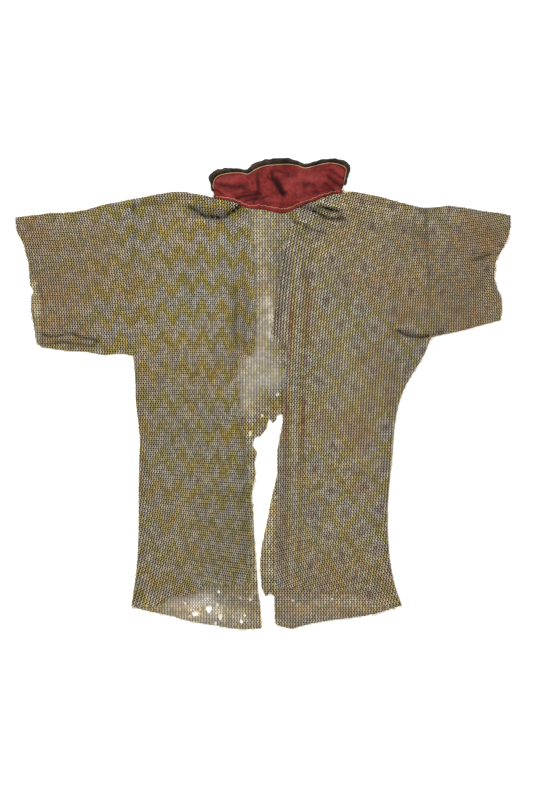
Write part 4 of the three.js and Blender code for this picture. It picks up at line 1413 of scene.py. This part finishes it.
class BuildCollar(bpy.types.Operator):
    """Builds the padded collar with its piping, binding and stitches"""

    bl_idname = "mailshirt.collar"
    bl_label = "Build the collar"

    def execute(self, context):
        look = context.scene.mail_shirt_collar
        red, black, gold = (woven_material(part, getattr(look, part)) for part in CLOTHS)

        lining = copy_of("collar_lining", "collar_red_lining")
        cut_grid(lining, FINE_GRID)
        self.swell(lining)
        self.shape_lining(lining)
        finish_piece(lining, red, angle=60)

        outer = copy_of("collar_outer", "collar_black_velvet")
        cut_grid(outer, FINE_GRID)
        self.roughen(outer)
        set_attribute(outer.data, "shade", np.zeros(len(outer.data.vertices)))
        finish_piece(outer, black, angle=60)

        self.build_piping(gold)
        self.build_seams(lining, red, gold)
        return {"FINISHED"}

    def swell(self, lining):
        """Lets the padding push the cloth up. It is held underneath and along its edges."""
        mesh = lining.data
        rest, normals = points_of(mesh), normals_of(mesh)
        held = lining.vertex_groups.new(name="held")
        fixed = np.flatnonzero((normals[:, 2] < 0.9) | (rest[:, 2] < COLLAR_UP))
        held.add(fixed.tolist(), 1.0, "REPLACE")
        cloth = lining.modifiers.new("cloth", "CLOTH")
        cloth.settings.vertex_group_mass = held.name
        cloth.settings.use_pressure = True
        cloth.settings.uniform_pressure_force = SWELL_PRESSURE
        cloth.settings.shrink_min = SWELL_SLACK
        cloth.settings.effector_weights.gravity = 0.0
        for step in range(1, SWELL_STEPS + 1):
            bpy.context.scene.frame_set(step)
        shaped = lining.evaluated_get(bpy.context.evaluated_depsgraph_get())
        moved = np.clip(points_of(shaped.data) - rest, -SWELL_MOST, SWELL_MOST)
        lining.modifiers.remove(cloth)
        lining.vertex_groups.remove(held)
        bpy.context.scene.frame_set(1)
        set_points(mesh, rest + moved)

    def roughen(self, outer):
        """Makes the velvet's outline slightly uneven."""
        mesh = outer.data
        points, normals = points_of(mesh), normals_of(mesh)
        rim = np.abs(normals[:, 2]) < 0.8
        shift_x, shift_y = wander(points[:, 0], points[:, 1], RIM_WANDER)
        points[rim, 0] += shift_x[rim]
        points[rim, 1] += shift_y[rim]
        set_points(mesh, points)

    def shape_lining(self, lining):
        """Presses the wrinkles into the lining, and paints shade into them and the satin's painted shadow
        and highlight.
        """
        mesh = lining.data
        points, normals = points_of(mesh), normals_of(mesh)
        folds = relief(WRINKLES, points[:, 0], points[:, 1], FINE_WANDER)
        upward = (normals[:, 2] > 0.3) & (points[:, 2] > COLLAR_UP)
        points[upward, 2] += folds[upward]
        set_points(mesh, points)
        # The satin's painted shadow and highlight, and painted shade in the wrinkles.
        satin = relief(SATIN, points[:, 0], points[:, 1], FINE_WANDER)
        wrinkled = np.clip(-folds / WRINKLE_SHADE, 0, WRINKLE_DARKEST)
        set_attribute(mesh, "shade", 1 - (1 - wrinkled) * (1 - np.clip(-satin, 0, 1)))
        set_attribute(mesh, "shine", np.clip(satin, 0, 1))

    def build_piping(self, gold):
        """Twists two strands round the line of the piping."""
        path = collar_line("pipe", "base", 0.0, CORD_POINTS)[CORD_SKIPPED:]
        tangent = np.gradient(path, axis=0)
        tangent /= np.linalg.norm(tangent, axis=1)[:, None]
        normal = np.column_stack([-tangent[:, 1], tangent[:, 0]])
        strands = []
        for half in (0, math.pi):
            turn = np.arange(len(path)) * CORD_TURN + half
            aside = STRAND_ASIDE * np.cos(turn)
            lift = UPPER + CORD_HEIGHT + STRAND_ASIDE * np.sin(turn)
            strands.append(np.column_stack([path + normal * aside[:, None], lift]))
        piping = tube("collar_gold_piping", strands, STRAND_RADIUS, gold)
        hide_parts("collar_piping")

    def build_seams(self, lining, red, gold):
        """Lays the binding along the neckline, and the stitches beside it."""
        tree = tree_of(lining.data)
        binding = collar_line("base", "pipe", BINDING_SHARE, BINDING_POINTS)
        line = np.column_stack([binding, tops_along(tree, binding) + BINDING_LIFT])
        tube("collar_red_binding", [line], BINDING_RADIUS, red, sides=2)
        seam = collar_line("base", "pipe", SEAM_SHARE, SEAM_POINTS)
        run = np.arange(SEAM_POINTS)
        seam[:, 1] += 0.5 * np.sin(run * 0.55) + 0.4 * np.sin(run * 0.17)
        bow = STITCH_RISE * np.sin(np.linspace(0, math.pi, STITCH_LENGTH)) - STITCH_SINK
        stitches = []
        for k in range(STITCH_FIRST, STITCH_LAST, STITCH_LENGTH):
            thread = seam[k:k + STITCH_LENGTH]
            stitches.append(np.column_stack([thread, tops_along(tree, thread) + bow]))
        tube("collar_stitches", stitches, STITCH_RADIUS, gold)


class BuildStage(bpy.types.Operator):
    """Lays the floor and sets the lights and the camera"""

    bl_idname = "mailshirt.stage"
    bl_label = "Build the stage"

    def execute(self, context):
        settings = context.scene.mail_shirt_stage
        bpy.ops.object.select_all(action="DESELECT")
        bpy.ops.mesh.primitive_plane_add(size=FLOOR_SIZE, location=(0, 0, -FLOOR_DROP))
        floor = context.object
        floor.name = "floor"
        material, _, shader = new_material("floor_white")
        shader.inputs["Base Color"].default_value = (0.93, 0.93, 0.93, 1)
        shader.inputs["Roughness"].default_value = 0.9
        shader.inputs["Emission Color"].default_value = (1, 1, 1, 1)
        shader.inputs["Emission Strength"].default_value = settings.glow
        floor.data.materials.append(material)

        world = context.scene.world or bpy.data.worlds.new("world")
        context.scene.world = world
        world.use_nodes = True
        sky = world.node_tree.nodes["Background"]
        sky.inputs["Color"].default_value = (1, 1, 1, 1)
        sky.inputs["Strength"].default_value = settings.dome
        bpy.ops.object.light_add(type="AREA", location=KEY_PLACE)
        key = context.object
        key.data.size = KEY_SIZE
        key.data.energy = settings.key
        key.rotation_euler = (-Vector(KEY_PLACE)).to_track_quat("-Z", "Y").to_euler()

        bpy.ops.object.camera_add(location=(CAMERA_X, CAMERA_Y + FRAME_Y * MM, settings.camera_height))
        camera = context.object
        camera.data.lens = LENS
        context.scene.camera = camera
        context.scene.view_settings.view_transform = "Standard"
        return {"FINISHED"}


class MailShirtPanel(bpy.types.Panel):
    """The shirt's steps and settings in the sidebar"""

    bl_idname = "VIEW3D_PT_mail_shirt"
    bl_label = "Mail shirt"
    bl_space_type = "VIEW_3D"
    bl_region_type = "UI"
    bl_category = "Mail shirt"

    def draw(self, context):
        for operator in (BuildMail, BuildEdges, BuildCollar, BuildStage):
            self.layout.operator(operator.bl_idname)
        for name in SETTINGS:
            box = self.layout.box()
            for prop in getattr(context.scene, name).bl_rna.properties:
                if prop.identifier not in ("rna_type", "name"):
                    box.prop(getattr(context.scene, name), prop.identifier)


SETTINGS = {
    "mail_shirt_mail": MailSettings,
    "mail_shirt_collar": CollarSettings,
    "mail_shirt_stage": StageSettings,
}
CLASSES = (*SETTINGS.values(), BuildMail, BuildEdges, BuildCollar, BuildStage, MailShirtPanel)


def register():
    for cls in CLASSES:
        bpy.utils.register_class(cls)
    for name, cls in SETTINGS.items():
        setattr(bpy.types.Scene, name, PointerProperty(type=cls))


def unregister():
    for name in SETTINGS:
        delattr(bpy.types.Scene, name)
    for cls in reversed(CLASSES):
        bpy.utils.unregister_class(cls)


def main():
    register()
    bpy.ops.mailshirt.mail()
    bpy.ops.mailshirt.edges()
    bpy.ops.mailshirt.collar()
    bpy.ops.mailshirt.stage()


if __name__ == "__main__":
    main()
